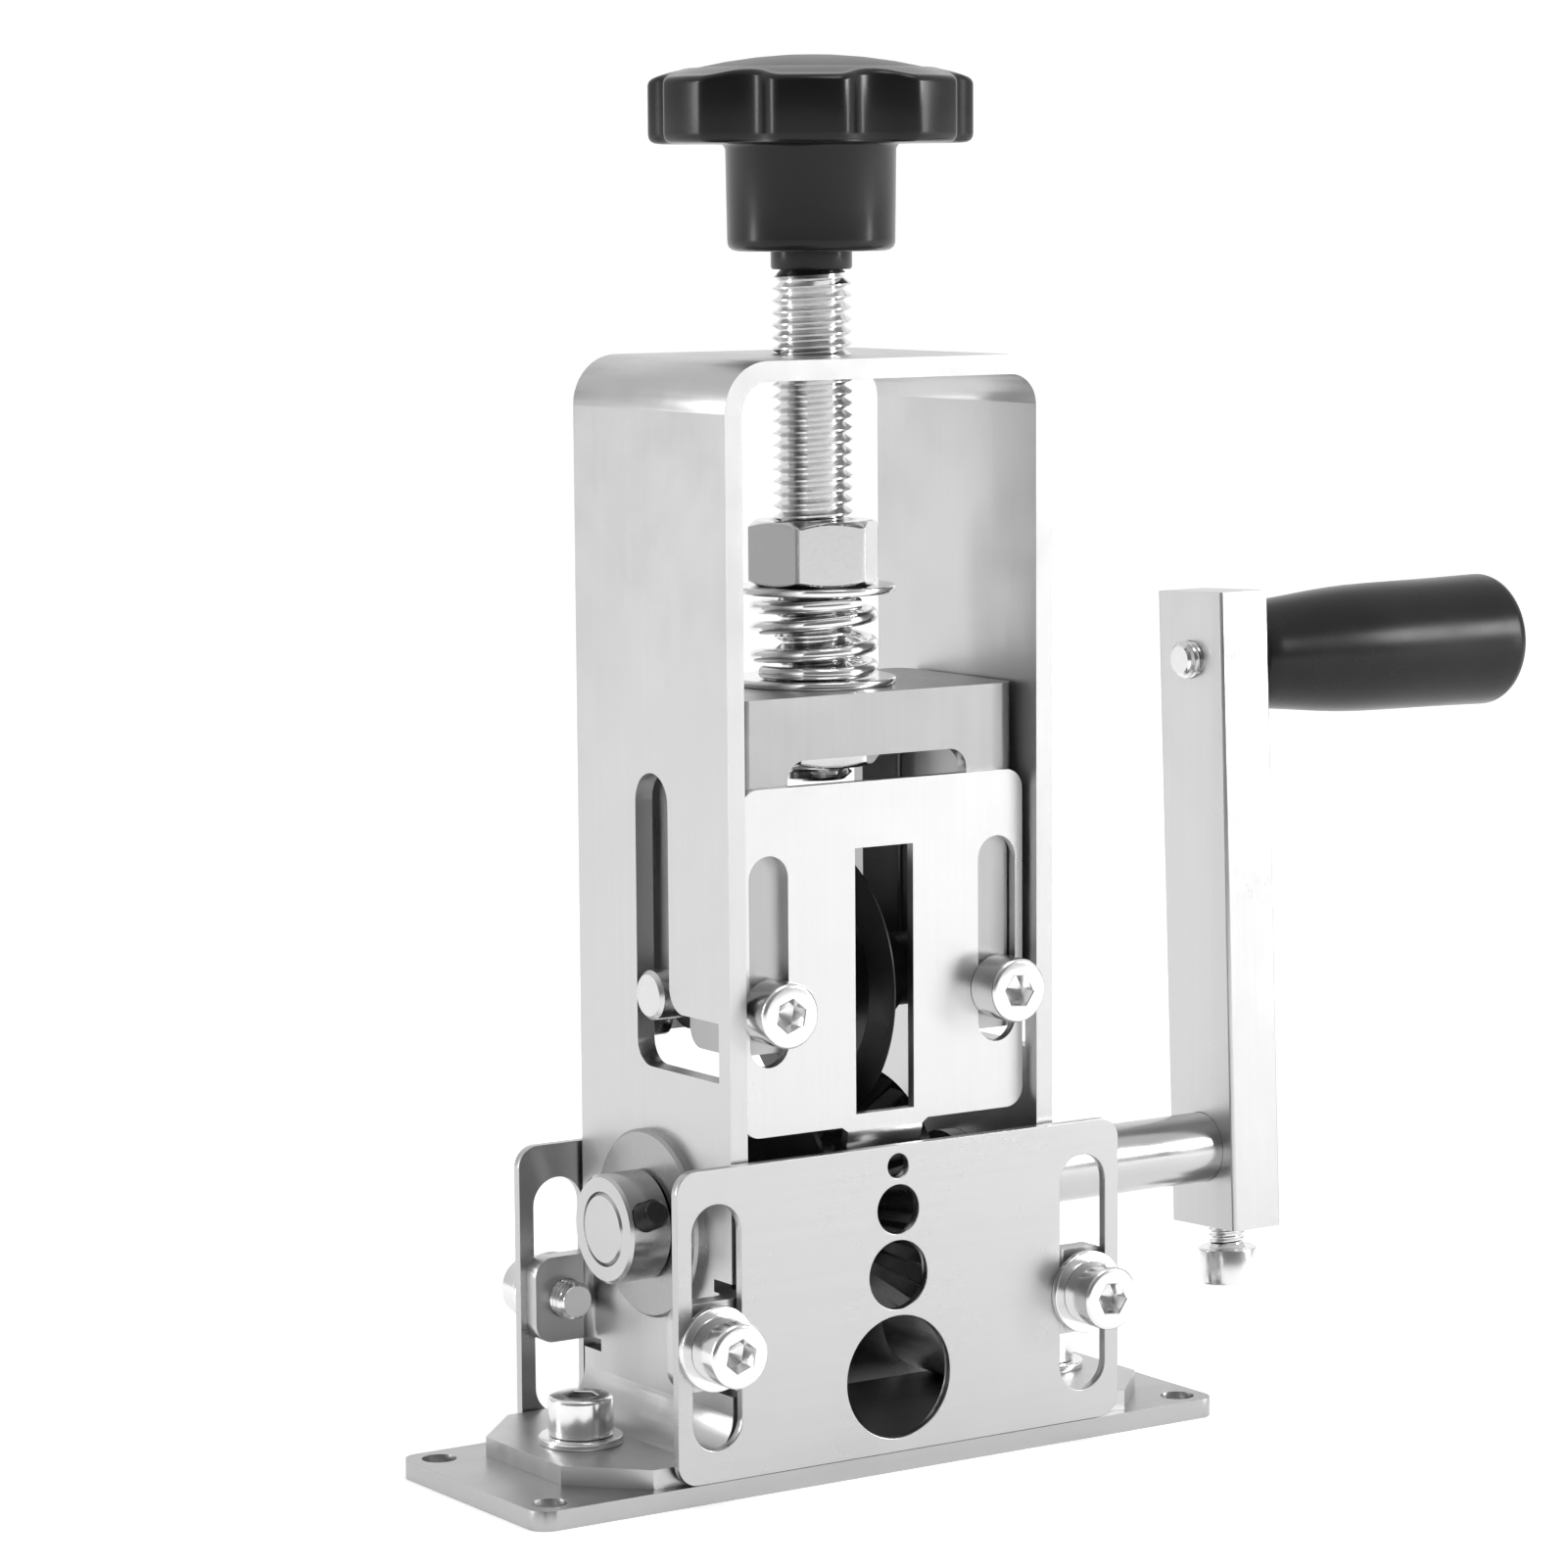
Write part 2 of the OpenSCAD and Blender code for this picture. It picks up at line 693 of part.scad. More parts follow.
// Outline of a guide plate with its slots and cable holes, standing on y = 0
module guide_outline() {
    difference() {
        translate([0, guide_h / 2]) round_rect(guide_w, guide_h, guide_corner_r);
        for (s = [-1, 1]) {
            translate([s * guide_slot_x, guide_slot_low]) slot_outline(guide_slot_w, guide_slot_l);
        }
        for (hole = [[guide_hole_1, hole_1_z], [guide_hole_2, hole_2_z],
                     [guide_hole_3, hole_3_z], [guide_hole_4, hole_4_z]]) {
            translate([guide_hole_x, hole[1]]) circle(d = hole[0]);
        }
    }
}

module front_guide_plate() {
    on_frame() color([0.86, 0.87, 0.88]) translate([0, 0, guide_z])
        standing(-ear_y, guide_t) guide_outline();
}

// The rear plate hangs behind the base plate, down to just above the bench
module rear_guide_plate() {
    on_frame() color([0.86, 0.87, 0.88]) translate([0, 0, guide_gap])
        standing(ear_y + guide_t, guide_t) guide_outline();
}

// Screws through a guide plate into the ears, for the front
module guide_screws() {
    for (s = [-1, 1]) {
        translate([s * ear_screw_x, -guide_face_y - cap_washer_t, ear_z]) rotate([90, 0, 0])
            cap_screw(guide_screw_l);
    }
}

// Washers under the heads of a guide plate's screws, for the front
module guide_washers() {
    for (s = [-1, 1]) {
        translate([s * ear_screw_x, -guide_face_y, ear_z]) rotate([90, 0, 0])
            flat_washer(cap_washer_d, cap_d + 2 * seat_fit, cap_washer_t);
    }
}

module front_guide_screws() {
    on_frame() guide_screws();
}

module front_guide_washers() {
    on_frame() guide_washers();
}

module rear_guide_screws() {
    on_frame() mirror([0, 1, 0]) guide_screws();
}

module rear_guide_washers() {
    on_frame() mirror([0, 1, 0]) guide_washers();
}

// Drive shaft, bearings and wheel

// Flanged bush for the wall at plus x
module bearing_bush() {
    color([0.8, 0.8, 0.8]) difference() {
        union() {
            along_shaft(wall_out, shaft_z) {
                cylinder(d = flange_d, h = flange_t - flange_bevel);
                translate([0, 0, flange_t - flange_bevel])
                    cylinder(d1 = flange_d, d2 = flange_d - 2 * flange_bevel, h = flange_bevel);
            }
            along_shaft(wall_in - bush_inner_l, shaft_z)
                cylinder(d = bush_d, h = bush_inner_l + sheet_t + eps);
        }
        along_shaft(wall_in - bush_inner_l - eps, shaft_z)
            cylinder(d = shaft_d + 2 * run_fit, h = bush_inner_l + sheet_t + flange_t + 2 * eps);
    }
}

module left_bearing() {
    on_frame() mirror([1, 0, 0]) bearing_bush();
}

module right_bearing() {
    on_frame() bearing_bush();
}

module drive_shaft() {
    chamfer = 0.8;
    on_frame() color([0.84, 0.85, 0.87]) difference() {
        along_shaft(-shaft_left, shaft_z) {
            cylinder(d1 = shaft_d - 2 * chamfer, d2 = shaft_d, h = chamfer);
            translate([0, 0, chamfer]) cylinder(d = shaft_d, h = shaft_l - 2 * chamfer);
            translate([0, 0, shaft_l - chamfer])
                cylinder(d1 = shaft_d, d2 = shaft_d - 2 * chamfer, h = chamfer);
        }
        translate([-wheel_w / 2, -key_size / 2, shaft_z + shaft_d / 2 - key_size / 2])
            cube([wheel_w, key_size, key_size]);
    }
}

module wheel_key() {
    side = key_size - 2 * seat_fit;
    on_frame() color([0.5, 0.5, 0.52])
        translate([seat_fit - wheel_w / 2, -side / 2, shaft_z + shaft_d / 2 - side / 2])
            cube([wheel_w - 2 * seat_fit, side, side]);
}

// Collar for plus x, with its threaded hole to the front and up
module shaft_collar() {
    chamfer = 0.6;
    color([0.88, 0.88, 0.9]) difference() {
        along_shaft(collar_x, shaft_z) {
            cylinder(d1 = collar_d - 2 * chamfer, d2 = collar_d, h = chamfer);
            translate([0, 0, chamfer]) cylinder(d = collar_d, h = collar_w - 2 * chamfer);
            translate([0, 0, collar_w - chamfer])
                cylinder(d1 = collar_d, d2 = collar_d - 2 * chamfer, h = chamfer);
        }
        along_shaft(collar_x - eps, shaft_z)
            cylinder(d = shaft_d + 2 * seat_fit, h = collar_w + 2 * eps);
        translate([grub_x, 0, shaft_z]) rotate([90 - grub_lean, 0, 0])
            cylinder(d = grub_d + 2 * seat_fit, h = collar_d);
    }
}

module shaft_collars() {
    on_frame() for (s = [0, 1]) {
        mirror([s, 0, 0]) shaft_collar();
    }
}

module collar_grub_screws() {
    on_frame() color([0.12, 0.12, 0.13]) for (s = [-1, 1]) {
        translate([s * grub_x, 0, shaft_z]) rotate([90 - grub_lean, 0, 0])
            translate([0, 0, shaft_d / 2 + seat_fit]) difference() {
                cylinder(d = grub_d, h = grub_l);
                translate([0, 0, grub_l - 3]) cylinder(d = grub_d / 2 / cos(30), h = 3 + eps, $fn = 6);
            }
    }
}

// One gap between two teeth on the flank at plus x, at the top of the wheel
module tooth_gap() {
    above = 1.5;
    half_top = tooth_gap_w / 2 * (tooth_depth + above) / tooth_depth;
    translate([groove_floor_w / 2, 0, groove_r]) rotate([0, 90 - flank_angle, 0])
        linear_extrude(flank_l + 2 * tooth_depth)
            polygon([[tooth_depth, 0], [-above, half_top], [-above, -half_top]]);
}

// Wheel with a toothed V groove that centres the cable under the blade
module drive_wheel() {
    edge = 0.6;
    half_w = wheel_w / 2;
    bore_r = shaft_d / 2 + seat_fit;
    on_frame() translate([0, 0, shaft_z]) color([0.13, 0.13, 0.14]) difference() {
        rotate([0, 90, 0]) rotate_extrude() polygon([
            [bore_r, -half_w], [wheel_r - edge, -half_w], [wheel_r, edge - half_w],
            [wheel_r, -flank_x], [groove_r, -groove_floor_w / 2],
            [groove_r, groove_floor_w / 2], [wheel_r, flank_x],
            [wheel_r, half_w - edge], [wheel_r - edge, half_w], [bore_r, half_w]
        ]);
        for (i = [0 : tooth_n - 1], s = [0, 1]) {
            rotate([i * 360 / tooth_n, 0, 0]) mirror([s, 0, 0]) tooth_gap();
        }
        translate([-half_w - eps, -key_size / 2, 0])
            cube([wheel_w + 2 * eps, key_size, shaft_d / 2 + key_size / 2]);
        translate([0, 0, -wheel_r]) cylinder(d = wheel_grub_d + 2 * seat_fit, h = wheel_r);
    }
}

// Grub screw from the groove's floor down to the shaft
module wheel_grub_screw() {
    socket_l = 2.5;
    length = groove_r - shaft_d / 2 - 1;
    on_frame() color([0.2, 0.2, 0.21]) translate([0, 0, shaft_z - shaft_d / 2 - seat_fit - length])
        difference() {
            cylinder(d = wheel_grub_d, h = length);
            translate([0, 0, -eps]) cylinder(d = wheel_grub_d / 2 / cos(30), h = socket_l + eps, $fn = 6);
        }
}

// Crank

module crank_arm() {
    on_frame() color([0.85, 0.86, 0.87]) leaning() difference() {
        translate([arm_x + arm_t / 2, 0, -arm_foot])
            linear_extrude(arm_foot + crank_r + arm_head) round_rect(arm_t, arm_w, arm_edge_r);
        along_shaft(arm_x - eps, 0) cylinder(d = shaft_d + 2 * seat_fit, h = arm_t + 2 * eps);
        along_shaft(arm_x - eps, crank_r)
            cylinder(d = spindle_d + 2 * seat_fit, h = arm_t + 2 * eps);
        translate([arm_x + arm_t / 2, 0, -arm_foot - eps])
            cylinder(d = cap_d + 2 * seat_fit, h = arm_foot);
    }
}

module crank_clamp_screw() {
    seat = arm_foot + clamp_gap;
    on_frame() leaning() translate([arm_x + arm_t / 2, 0, -seat]) rotate([180, 0, 0])
        cap_screw(seat - shaft_d / 2 - seat_fit);
}

// Spindle fixed in the arm, with the head that keeps the grip on
module handle_spindle() {
    tip_l = 1.5;
    head_x = handle_end - cap_l - spindle_head_l - end_play;
    on_frame() color([0.82, 0.83, 0.85]) leaning() {
        along_shaft(arm_x - 2 * tip_l, crank_r) cylinder(d = spindle_d - 2, h = tip_l + eps);
        along_shaft(arm_x - tip_l, crank_r) cylinder(d = spindle_d, h = head_x - arm_x + tip_l + eps);
        along_shaft(head_x, crank_r) cylinder(d = spindle_head_d, h = spindle_head_l);
    }
}

// Half profile of the grip: it swells from the arm to its middle and has a round far edge
module grip_profile() {
    steps = 12;
    near_r = grip_d_near / 2;
    mid_r = grip_d_mid / 2;
    far_r = grip_d_far / 2;
    side = [for (i = [0 : steps])
        [near_r + (mid_r - near_r) * sin(80 * i / steps) / sin(80), grip_l / 2 * i / steps]];
    difference() {
        union() {
            polygon(concat([[0, 0]], side, [[far_r, grip_l - grip_edge_r], [0, grip_l - grip_edge_r]]));
            translate([0, grip_l - grip_edge_r - eps]) square([far_r - grip_edge_r, grip_edge_r + eps]);
            translate([far_r - grip_edge_r, grip_l - grip_edge_r]) circle(grip_edge_r);
        }
        translate([-grip_d_far, 0]) square([grip_d_far, grip_l]);
    }
}

module handle_grip() {
    recess_l = cap_l + spindle_head_l + 2 * end_play;
    on_frame() color([0.1, 0.1, 0.11]) leaning()
        along_shaft(arm_x + arm_t + end_play, crank_r) difference() {
            rotate_extrude() grip_profile();
            translate([0, 0, -eps]) cylinder(d = spindle_d + 2 * run_fit, h = grip_l + 2 * eps);
            translate([0, 0, grip_l - recess_l])
                cylinder(d = spindle_head_d + 2 * run_fit, h = recess_l + eps);
        }
}

// Plug that closes the grip over the spindle's head
module grip_cap() {
    on_frame() color([0.1, 0.1, 0.11]) leaning()
        along_shaft(handle_end - cap_l, crank_r)
            cylinder(d = spindle_head_d + 2 * (run_fit - seat_fit), h = cap_l);
}

// Blade on its axle

module blade_axle() {
    chamfer = 0.8;
    on_frame() color([0.8, 0.81, 0.83]) along_shaft(-axle_half, axle_z) {
        cylinder(d1 = axle_d - 2 * chamfer, d2 = axle_d, h = chamfer);
        translate([0, 0, chamfer]) cylinder(d = axle_d, h = 2 * (axle_half - chamfer));
        translate([0, 0, 2 * axle_half - chamfer])
            cylinder(d1 = axle_d, d2 = axle_d - 2 * chamfer, h = chamfer);
    }
}

// Tubes that keep the hubs away from the carriage's sides
module axle_spacers() {
    inner = hub_end + end_play;
    outer = carriage_in - seat_fit;
    on_frame() color([0.25, 0.25, 0.26]) for (s = [0, 1]) mirror([s, 0, 0]) difference() {
        along_shaft(inner, axle_z) cylinder(d = spacer_d, h = outer - inner);
        along_shaft(inner - eps, axle_z)
            cylinder(d = axle_d + 2 * seat_fit, h = outer - inner + 2 * eps);
    }
}

// Round blade, ground from both sides
module blade() {
    edge = 0.15;
    blade_r = blade_d / 2;
    bore_r = axle_d / 2 + run_fit;
    half_t = blade_t / 2;
    on_frame() color([0.12, 0.12, 0.13]) along_shaft(0, axle_z) rotate_extrude() polygon([
        [bore_r, -half_t], [blade_r - bevel_w, -half_t], [blade_r, -edge],
        [blade_r, edge], [blade_r - bevel_w, half_t], [bore_r, half_t]
    ]);
}

module blade_hubs() {
    on_frame() color([0.2, 0.2, 0.21]) for (s = [0, 1]) mirror([s, 0, 0]) difference() {
        along_shaft(blade_t / 2, axle_z) cylinder(d = hub_d, h = hub_w);
        along_shaft(blade_t / 2 - eps, axle_z)
            cylinder(d = axle_d + 2 * run_fit, h = hub_w + 2 * eps);
    }
}

// Blade carriage

// Opening in the carriage's side for the axle, in y and z from the lower edge
module carriage_slot_outline() {
    half = carriage_slot_w / 2;
    top = axle_z - carriage_low_z;
    translate([0, top]) circle(axle_d / 2 + seat_fit);
    translate([-half, -eps]) square([carriage_slot_w, top + eps]);
    for (s = [-1, 1]) {
        translate([s * half, 0]) difference() {
            translate([-carriage_slot_r, -eps]) square([2 * carriage_slot_r, carriage_slot_r + eps]);
            translate([s * carriage_slot_r, carriage_slot_r]) circle(carriage_slot_r);
            translate([s > 0 ? carriage_slot_r : -2 * carriage_slot_r, -2 * eps])
                square([carriage_slot_r, carriage_slot_r + 3 * eps]);
        }
    }
}

module blade_carriage() {
    depth = carriage_front + carriage_back;
    middle_y = (carriage_back - carriage_front) / 2;
    on_frame() translate([0, 0, carriage_low_z]) color([0.76, 0.77, 0.79]) difference() {
        translate([0, middle_y, 0]) linear_extrude(carriage_h)
            round_rect(2 * carriage_half, depth, carriage_r);
        translate([0, middle_y, -eps]) linear_extrude(carriage_h - carriage_t + eps)
            round_rect(2 * carriage_in, depth - 2 * carriage_t, carriage_r - carriage_t + 0.3);
        translate([0, 0, -eps]) standing(carriage_back + 1, depth + 2)
            arch_outline(carriage_open_half, axle_z + carriage_open_top - carriage_low_z + eps,
                carriage_open_r);
        across(-carriage_half - 1, 2 * carriage_half + 2) carriage_slot_outline();
        cylinder(d = screw_d + 1, h = carriage_h + 1);
        for (s = [-1, 1]) {
            translate([s * guard_slot_x, 0, guard_screw_z - carriage_low_z]) rotate([90, 0, 0])
                cylinder(d = cap_d + 2 * seat_fit, h = carriage_front + 1);
        }
    }
}

// Guard plate

// Outline of the flat guard plate, standing on y = 0
module guard_outline() {
    notch_half = lip_w / 2 + lip_notch_w;
    difference() {
        translate([0, guard_h / 2]) round_rect(2 * carriage_half, guard_h, guard_corner_r);
        translate([-window_w / 2, window_sill]) square([window_w, window_h]);
        for (s = [-1, 1]) {
            translate([s * guard_slot_x, guard_slot_low]) slot_outline(guard_slot_w, guard_slot_l);
        }
    }
    polygon([
        [-notch_half, eps], [notch_half, eps], [notch_half, 0], [lip_w / 2, -lip_straight],
        [-lip_w / 2, -lip_straight], [-notch_half, 0]
    ]);
}

// Bent end of the lip, in y and z about the bend's middle
module lip_bend_outline() {
    reach = 3 * (lip_r + guard_t);
    intersection() {
        difference() {
            circle(lip_r + guard_t);
            circle(lip_r);
        }
        polygon([[0, 0], [-reach, 0], [-reach, -reach * tan(lip_angle)]]);
    }
}

module guard_plate() {
    on_frame() color([0.88, 0.88, 0.9]) {
        translate([0, 0, guard_low_z]) standing(-carriage_front, guard_t) guard_outline();
        intersection() {
            translate([0, lip_r - carriage_front, lip_z])
                across(-lip_w / 2, lip_w) lip_bend_outline();
            translate([0, 0, lip_z - (lip_r + guard_t) * sin(lip_angle)])
                standing(0, guard_y + eps) translate([0, lip_w / 2])
                    round_rect(lip_w, lip_w, lip_corner_r);
        }
    }
}

module guard_screws() {
    on_frame() for (s = [-1, 1]) {
        translate([s * guard_slot_x, -guard_y, guard_screw_z]) rotate([90, 0, 0])
            cap_screw(guard_screw_l);
    }
}

// Adjusting screw, spring and knob

module adjusting_screw() {
    chamfer = 1.2;
    on_frame() color([0.8, 0.81, 0.83]) translate([0, 0, screw_low_z]) {
        cylinder(d1 = screw_d - 2 * chamfer, d2 = screw_d, h = chamfer);
        translate([0, 0, chamfer]) cylinder(d = screw_d, h = neck_z - screw_low_z - chamfer);
        cylinder(d = neck_d, h = screw_top_z - screw_low_z);
    }
}

module upper_nut() {
    on_frame() translate([0, 0, upper_nut_z]) hex_nut();
}

module lifting_nut() {
    on_frame() translate([0, 0, lift_nut_z]) hex_nut();
}

module upper_spring_washer() {
    on_frame() translate([0, 0, upper_washer_z])
        flat_washer(washer_d, screw_d + 2 * run_fit, washer_t);
}

module lower_spring_washer() {
    on_frame() translate([0, 0, carriage_top_z]) flat_washer(washer_d, screw_d + 1, washer_t);
}

// Height of the spring's wire below its upper end after a number of turns
function spring_fall(t) =
    t < 1 ? spring_pitch_top * t
    : t < 2 ? spring_pitch_top + spring_pitch_mid * (t - 1)
    : min(spring_pitch_top + spring_pitch_mid + spring_pitch_low * (t - 2),
        spring_pitch_top + spring_pitch_mid + spring_pitch_low);

// Middle of the wire after a number of turns, from the front right round to the left
function spring_point(t) =
    let (a = -spring_start - 360 * t, r = (spring_d - wire_d) / 2)
    [r * cos(a), r * sin(a), upper_washer_z - end_play - wire_d / 2 - spring_fall(t)];

// One ring of the wire's surface after a number of turns
function spring_ring(t) =
    let (p = spring_point(t), a = -spring_start - 360 * t)
    [for (k = [0 : spring_sides - 1])
        let (b = 360 * k / spring_sides, out = wire_d / 2 * cos(b))
        [p[0] + out * cos(a), p[1] + out * sin(a), p[2] + wire_d / 2 * sin(b)]];

module pressure_spring() {
    points = [for (i = [0 : spring_rings]) each spring_ring(spring_turns * i / spring_rings)];
    walls = [for (i = [0 : spring_rings - 1], k = [0 : spring_sides - 1])
        let (a = i * spring_sides, n = (k + 1) % spring_sides, b = a + spring_sides)
        each [[a + k, a + n, b + n], [a + k, b + n, b + k]]];
    last = spring_rings * spring_sides;
    ends = [for (k = [1 : spring_sides - 2])
        each [[0, k + 1, k], [last, last + k, last + k + 1]]];
    on_frame() color([0.86, 0.87, 0.88])
        polyhedron(points = points, faces = concat(walls, ends));
}

// Least gap between neighbouring turns, measured on the wire's middle line
spring_gap = min([for (i = [0 : spring_rings])
    let (t = (spring_turns - 1) * i / spring_rings)
    norm(spring_point(t + 1) - spring_point(t)) - wire_d]);
echo(least_gap_between_turns = spring_gap);

// Half profile of the knob's lobed rim: round edges under a shallow dome
module knob_rim_profile() {
    half = knob_d / 2;
    height = knob_rim_h + knob_dome_h;
    intersection() {
        union() {
            square([half - knob_edge_r, height]);
            translate([0, knob_edge_r]) square([half, knob_rim_h - knob_edge_r]);
            translate([half - knob_edge_r, knob_edge_r]) circle(knob_edge_r);
            translate([0, knob_rim_h - eps]) square([half, knob_dome_h + eps]);
        }
        translate([0, height - dome_r]) circle(dome_r, $fn = 360);
        square([half, height]);
    }
}

// Half profile of the knob's hub with a round lower edge
module knob_hub_profile() {
    flat = knob_hub_d / 2 - knob_foot_r;
    square([flat, knob_hub_h + eps]);
    translate([0, knob_foot_r]) square([knob_hub_d / 2, knob_hub_h + eps - knob_foot_r]);
    translate([flat, knob_foot_r]) circle(knob_foot_r);
}

module knob() {
    on_frame() color([0.08, 0.08, 0.09]) difference() {
        union() {
            translate([0, 0, knob_z]) rotate_extrude() knob_hub_profile();
            translate([0, 0, rim_z]) difference() {
                rotate_extrude() knob_rim_profile();
                for (i = [0 : lobe_n - 1]) {
                    rotate((i + 0.5) * 360 / lobe_n - lobe_turn)
                        translate([knob_d / 2 - lobe_depth + lobe_r, 0, -eps])
                            cylinder(r = lobe_r, h = knob_rim_h + knob_dome_h + 2 * eps);
                }
            }
        }
        translate([0, 0, knob_z - eps])
            cylinder(d = neck_d + 2 * seat_fit, h = knob_socket + seat_fit + eps);
    }
}

// Dark sleeve round the screw's neck under the knob
module knob_sleeve() {
    on_frame() color([0.1, 0.1, 0.11]) translate([0, 0, neck_z]) difference() {
        cylinder(d = sleeve_d, h = sleeve_h);
        translate([0, 0, -eps]) cylinder(d = neck_d + 2 * seat_fit, h = sleeve_h + 2 * eps);
    }
}

base_plate();
frame();
foot_screws();
foot_washers();
front_guide_plate();
front_guide_screws();
front_guide_washers();
rear_guide_plate();
rear_guide_screws();
rear_guide_washers();
left_bearing();
right_bearing();
drive_shaft();
shaft_collars();
collar_grub_screws();
drive_wheel();
wheel_key();
wheel_grub_screw();
crank_arm();
crank_clamp_screw();
handle_spindle();
handle_grip();
grip_cap();
adjusting_screw();
knob();
knob_sleeve();
upper_nut();
upper_spring_washer();
pressure_spring();
lower_spring_washer();
lifting_nut();
blade_carriage();
blade_axle();
axle_spacers();
blade();
blade_hubs();
guard_plate();
guard_screws();
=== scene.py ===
import math

import bpy
from mathutils import Matrix, Vector


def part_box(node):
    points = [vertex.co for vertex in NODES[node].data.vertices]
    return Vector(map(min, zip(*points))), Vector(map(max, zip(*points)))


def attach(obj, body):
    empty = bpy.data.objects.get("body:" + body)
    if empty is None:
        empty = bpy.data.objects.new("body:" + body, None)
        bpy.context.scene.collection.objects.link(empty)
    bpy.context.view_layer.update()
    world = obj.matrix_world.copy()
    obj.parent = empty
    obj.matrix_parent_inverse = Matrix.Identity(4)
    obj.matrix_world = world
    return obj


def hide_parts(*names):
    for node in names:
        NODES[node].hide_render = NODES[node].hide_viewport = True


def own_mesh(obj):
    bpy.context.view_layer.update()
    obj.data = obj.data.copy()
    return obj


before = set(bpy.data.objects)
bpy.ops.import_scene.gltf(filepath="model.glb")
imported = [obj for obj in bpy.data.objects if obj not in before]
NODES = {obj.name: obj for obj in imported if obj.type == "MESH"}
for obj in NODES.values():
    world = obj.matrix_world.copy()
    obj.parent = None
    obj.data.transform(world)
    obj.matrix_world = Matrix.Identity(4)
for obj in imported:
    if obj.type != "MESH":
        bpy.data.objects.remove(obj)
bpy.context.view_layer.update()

MM = 0.001
TAU = 2 * math.pi


# Mesh helpers: all sizes in millimetres, turned into metres when the object is made

class Shape:
    """Vertices in millimetres and faces with a material index."""

    def __init__(self):
        self.verts, self.faces, self.mats = [], [], []

    def add(self, verts, faces, place=None, mat=0):
        base = len(self.verts)
        place = place or Matrix.Identity(4)
        self.verts += [place @ Vector(v) for v in verts]
        self.faces += [[base + i for i in f] for f in faces]
        self.mats += [mat] * len(faces)

    def make(self, name, materials, body, nodes=(), angle=32, merge=0.004):
        mesh = bpy.data.meshes.new(name)
        mesh.from_pydata([tuple(v * MM) for v in self.verts], [], self.faces)
        for m in materials:
            mesh.materials.append(m)
        mesh.polygons.foreach_set("material_index", self.mats)
        mesh.update()
        weld(mesh, merge * MM)
        mesh.shade_smooth()
        mesh.set_sharp_from_angle(angle=math.radians(angle))
        ob = bpy.data.objects.new(name, mesh)
        bpy.context.scene.collection.objects.link(ob)
        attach(ob, body)
        if nodes:
            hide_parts(*nodes)
        return ob


def weld(mesh, dist):
    import bmesh
    bm = bmesh.new()
    bm.from_mesh(mesh)
    bmesh.ops.remove_doubles(bm, verts=bm.verts, dist=dist)
    bmesh.ops.dissolve_degenerate(bm, edges=bm.edges, dist=dist / 4)
    bmesh.ops.recalc_face_normals(bm, faces=bm.faces)
    bm.to_mesh(mesh)
    bm.free()


def hexagon(af, turn=0.0):
    """Radius of a hexagon across its flats at an angle."""
    def r(t):
        u = (t - turn) % (TAU / 6) - TAU / 12
        return af / 2 / math.cos(u)
    return r


def lathe(shape, rings, place=None, n=64, mat=0, closed=False):
    """Rings of (radius or function of the angle, z) joined into one surface."""
    verts, faces = [], []
    for r, z in rings:
        for k in range(n):
            t = TAU * k / n
            q = r(t) if callable(r) else r
            verts.append((q * math.cos(t), q * math.sin(t), z))
    m = len(rings)
    for i in range(m if closed else m - 1):
        j = (i + 1) % m
        for k in range(n):
            l = (k + 1) % n
            faces.append((i * n + k, i * n + l, j * n + l, j * n + k))
    shape.add(verts, faces, place, mat)


def thread(shape, major, minor, pitch, z0, z1, tip=None, place=None, n=56, mat=0, phase=0.0):
    """A right-hand V thread between two heights, bevelled to the tip radius at both ends."""
    tip = minor - 0.1 if tip is None else tip
    pattern = ((0.0, minor), (0.16, minor), (0.46, major), (0.60, major))
    rows = (int((z1 - z0) / pitch) + 3) * 4
    verts, faces = [], []
    for k in range(n + 1):
        t = TAU * k / n
        for j in range(rows):
            part, r = pattern[j % 4]
            z = z0 + pitch * (j // 4 - 1 + part + k / n - phase)
            z = min(max(z, z0), z1)
            r = min(r, tip + (z - z0) * 1.1, tip + (z1 - z) * 1.1)
            verts.append((r * math.cos(t), r * math.sin(t), z))
    for k in range(n):
        for j in range(rows - 1):
            a, b = k * rows + j, (k + 1) * rows + j
            faces.append((a, b, b + 1, a + 1))
    low, high = len(verts), len(verts) + 1
    verts += [(0, 0, z0), (0, 0, z1)]
    for k in range(n):
        t, u = TAU * k / n, TAU * (k + 1) / n
        base = len(verts)
        for z in (z0, z1):
            verts += [(tip * math.cos(t), tip * math.sin(t), z), (tip * math.cos(u), tip * math.sin(u), z)]
        faces += [(low, base + 1, base), (high, base + 2, base + 3)]
    shape.add(verts, faces, place, mat)


def cap_screw(shape, length, place, turn=0.0, head_r=6.5, head_h=8.0, shank_r=4.0, af=6.0, pitch=1.25):
    """Socket head cap screw, head upwards, seated at z = 0."""
    depth, socket, mouth = 4.2, hexagon(af, turn), hexagon(af + 0.4, turn)
    lathe(shape, [
        (0.01, head_h - depth - 1.2), (af / 2 * 0.8, head_h - depth - 0.3), (socket, head_h - depth),
        (socket, head_h - 0.18), (mouth, head_h),
        (head_r - 0.85, head_h), (head_r - 0.5, head_h - 0.09), (head_r - 0.2, head_h - 0.32),
        (head_r - 0.04, head_h - 0.62), (head_r, head_h - 0.95),
        (head_r, 0.45), (head_r - 0.12, 0.13), (head_r - 0.45, 0.0), (shank_r + 0.3, 0.0),
        (shank_r - 0.05, -0.3), (shank_r - 0.4, -0.9)
    ], place, n=72)
    thread(shape, shank_r - 0.03, shank_r - 0.72, pitch, -length, -0.4, place=place, n=40)


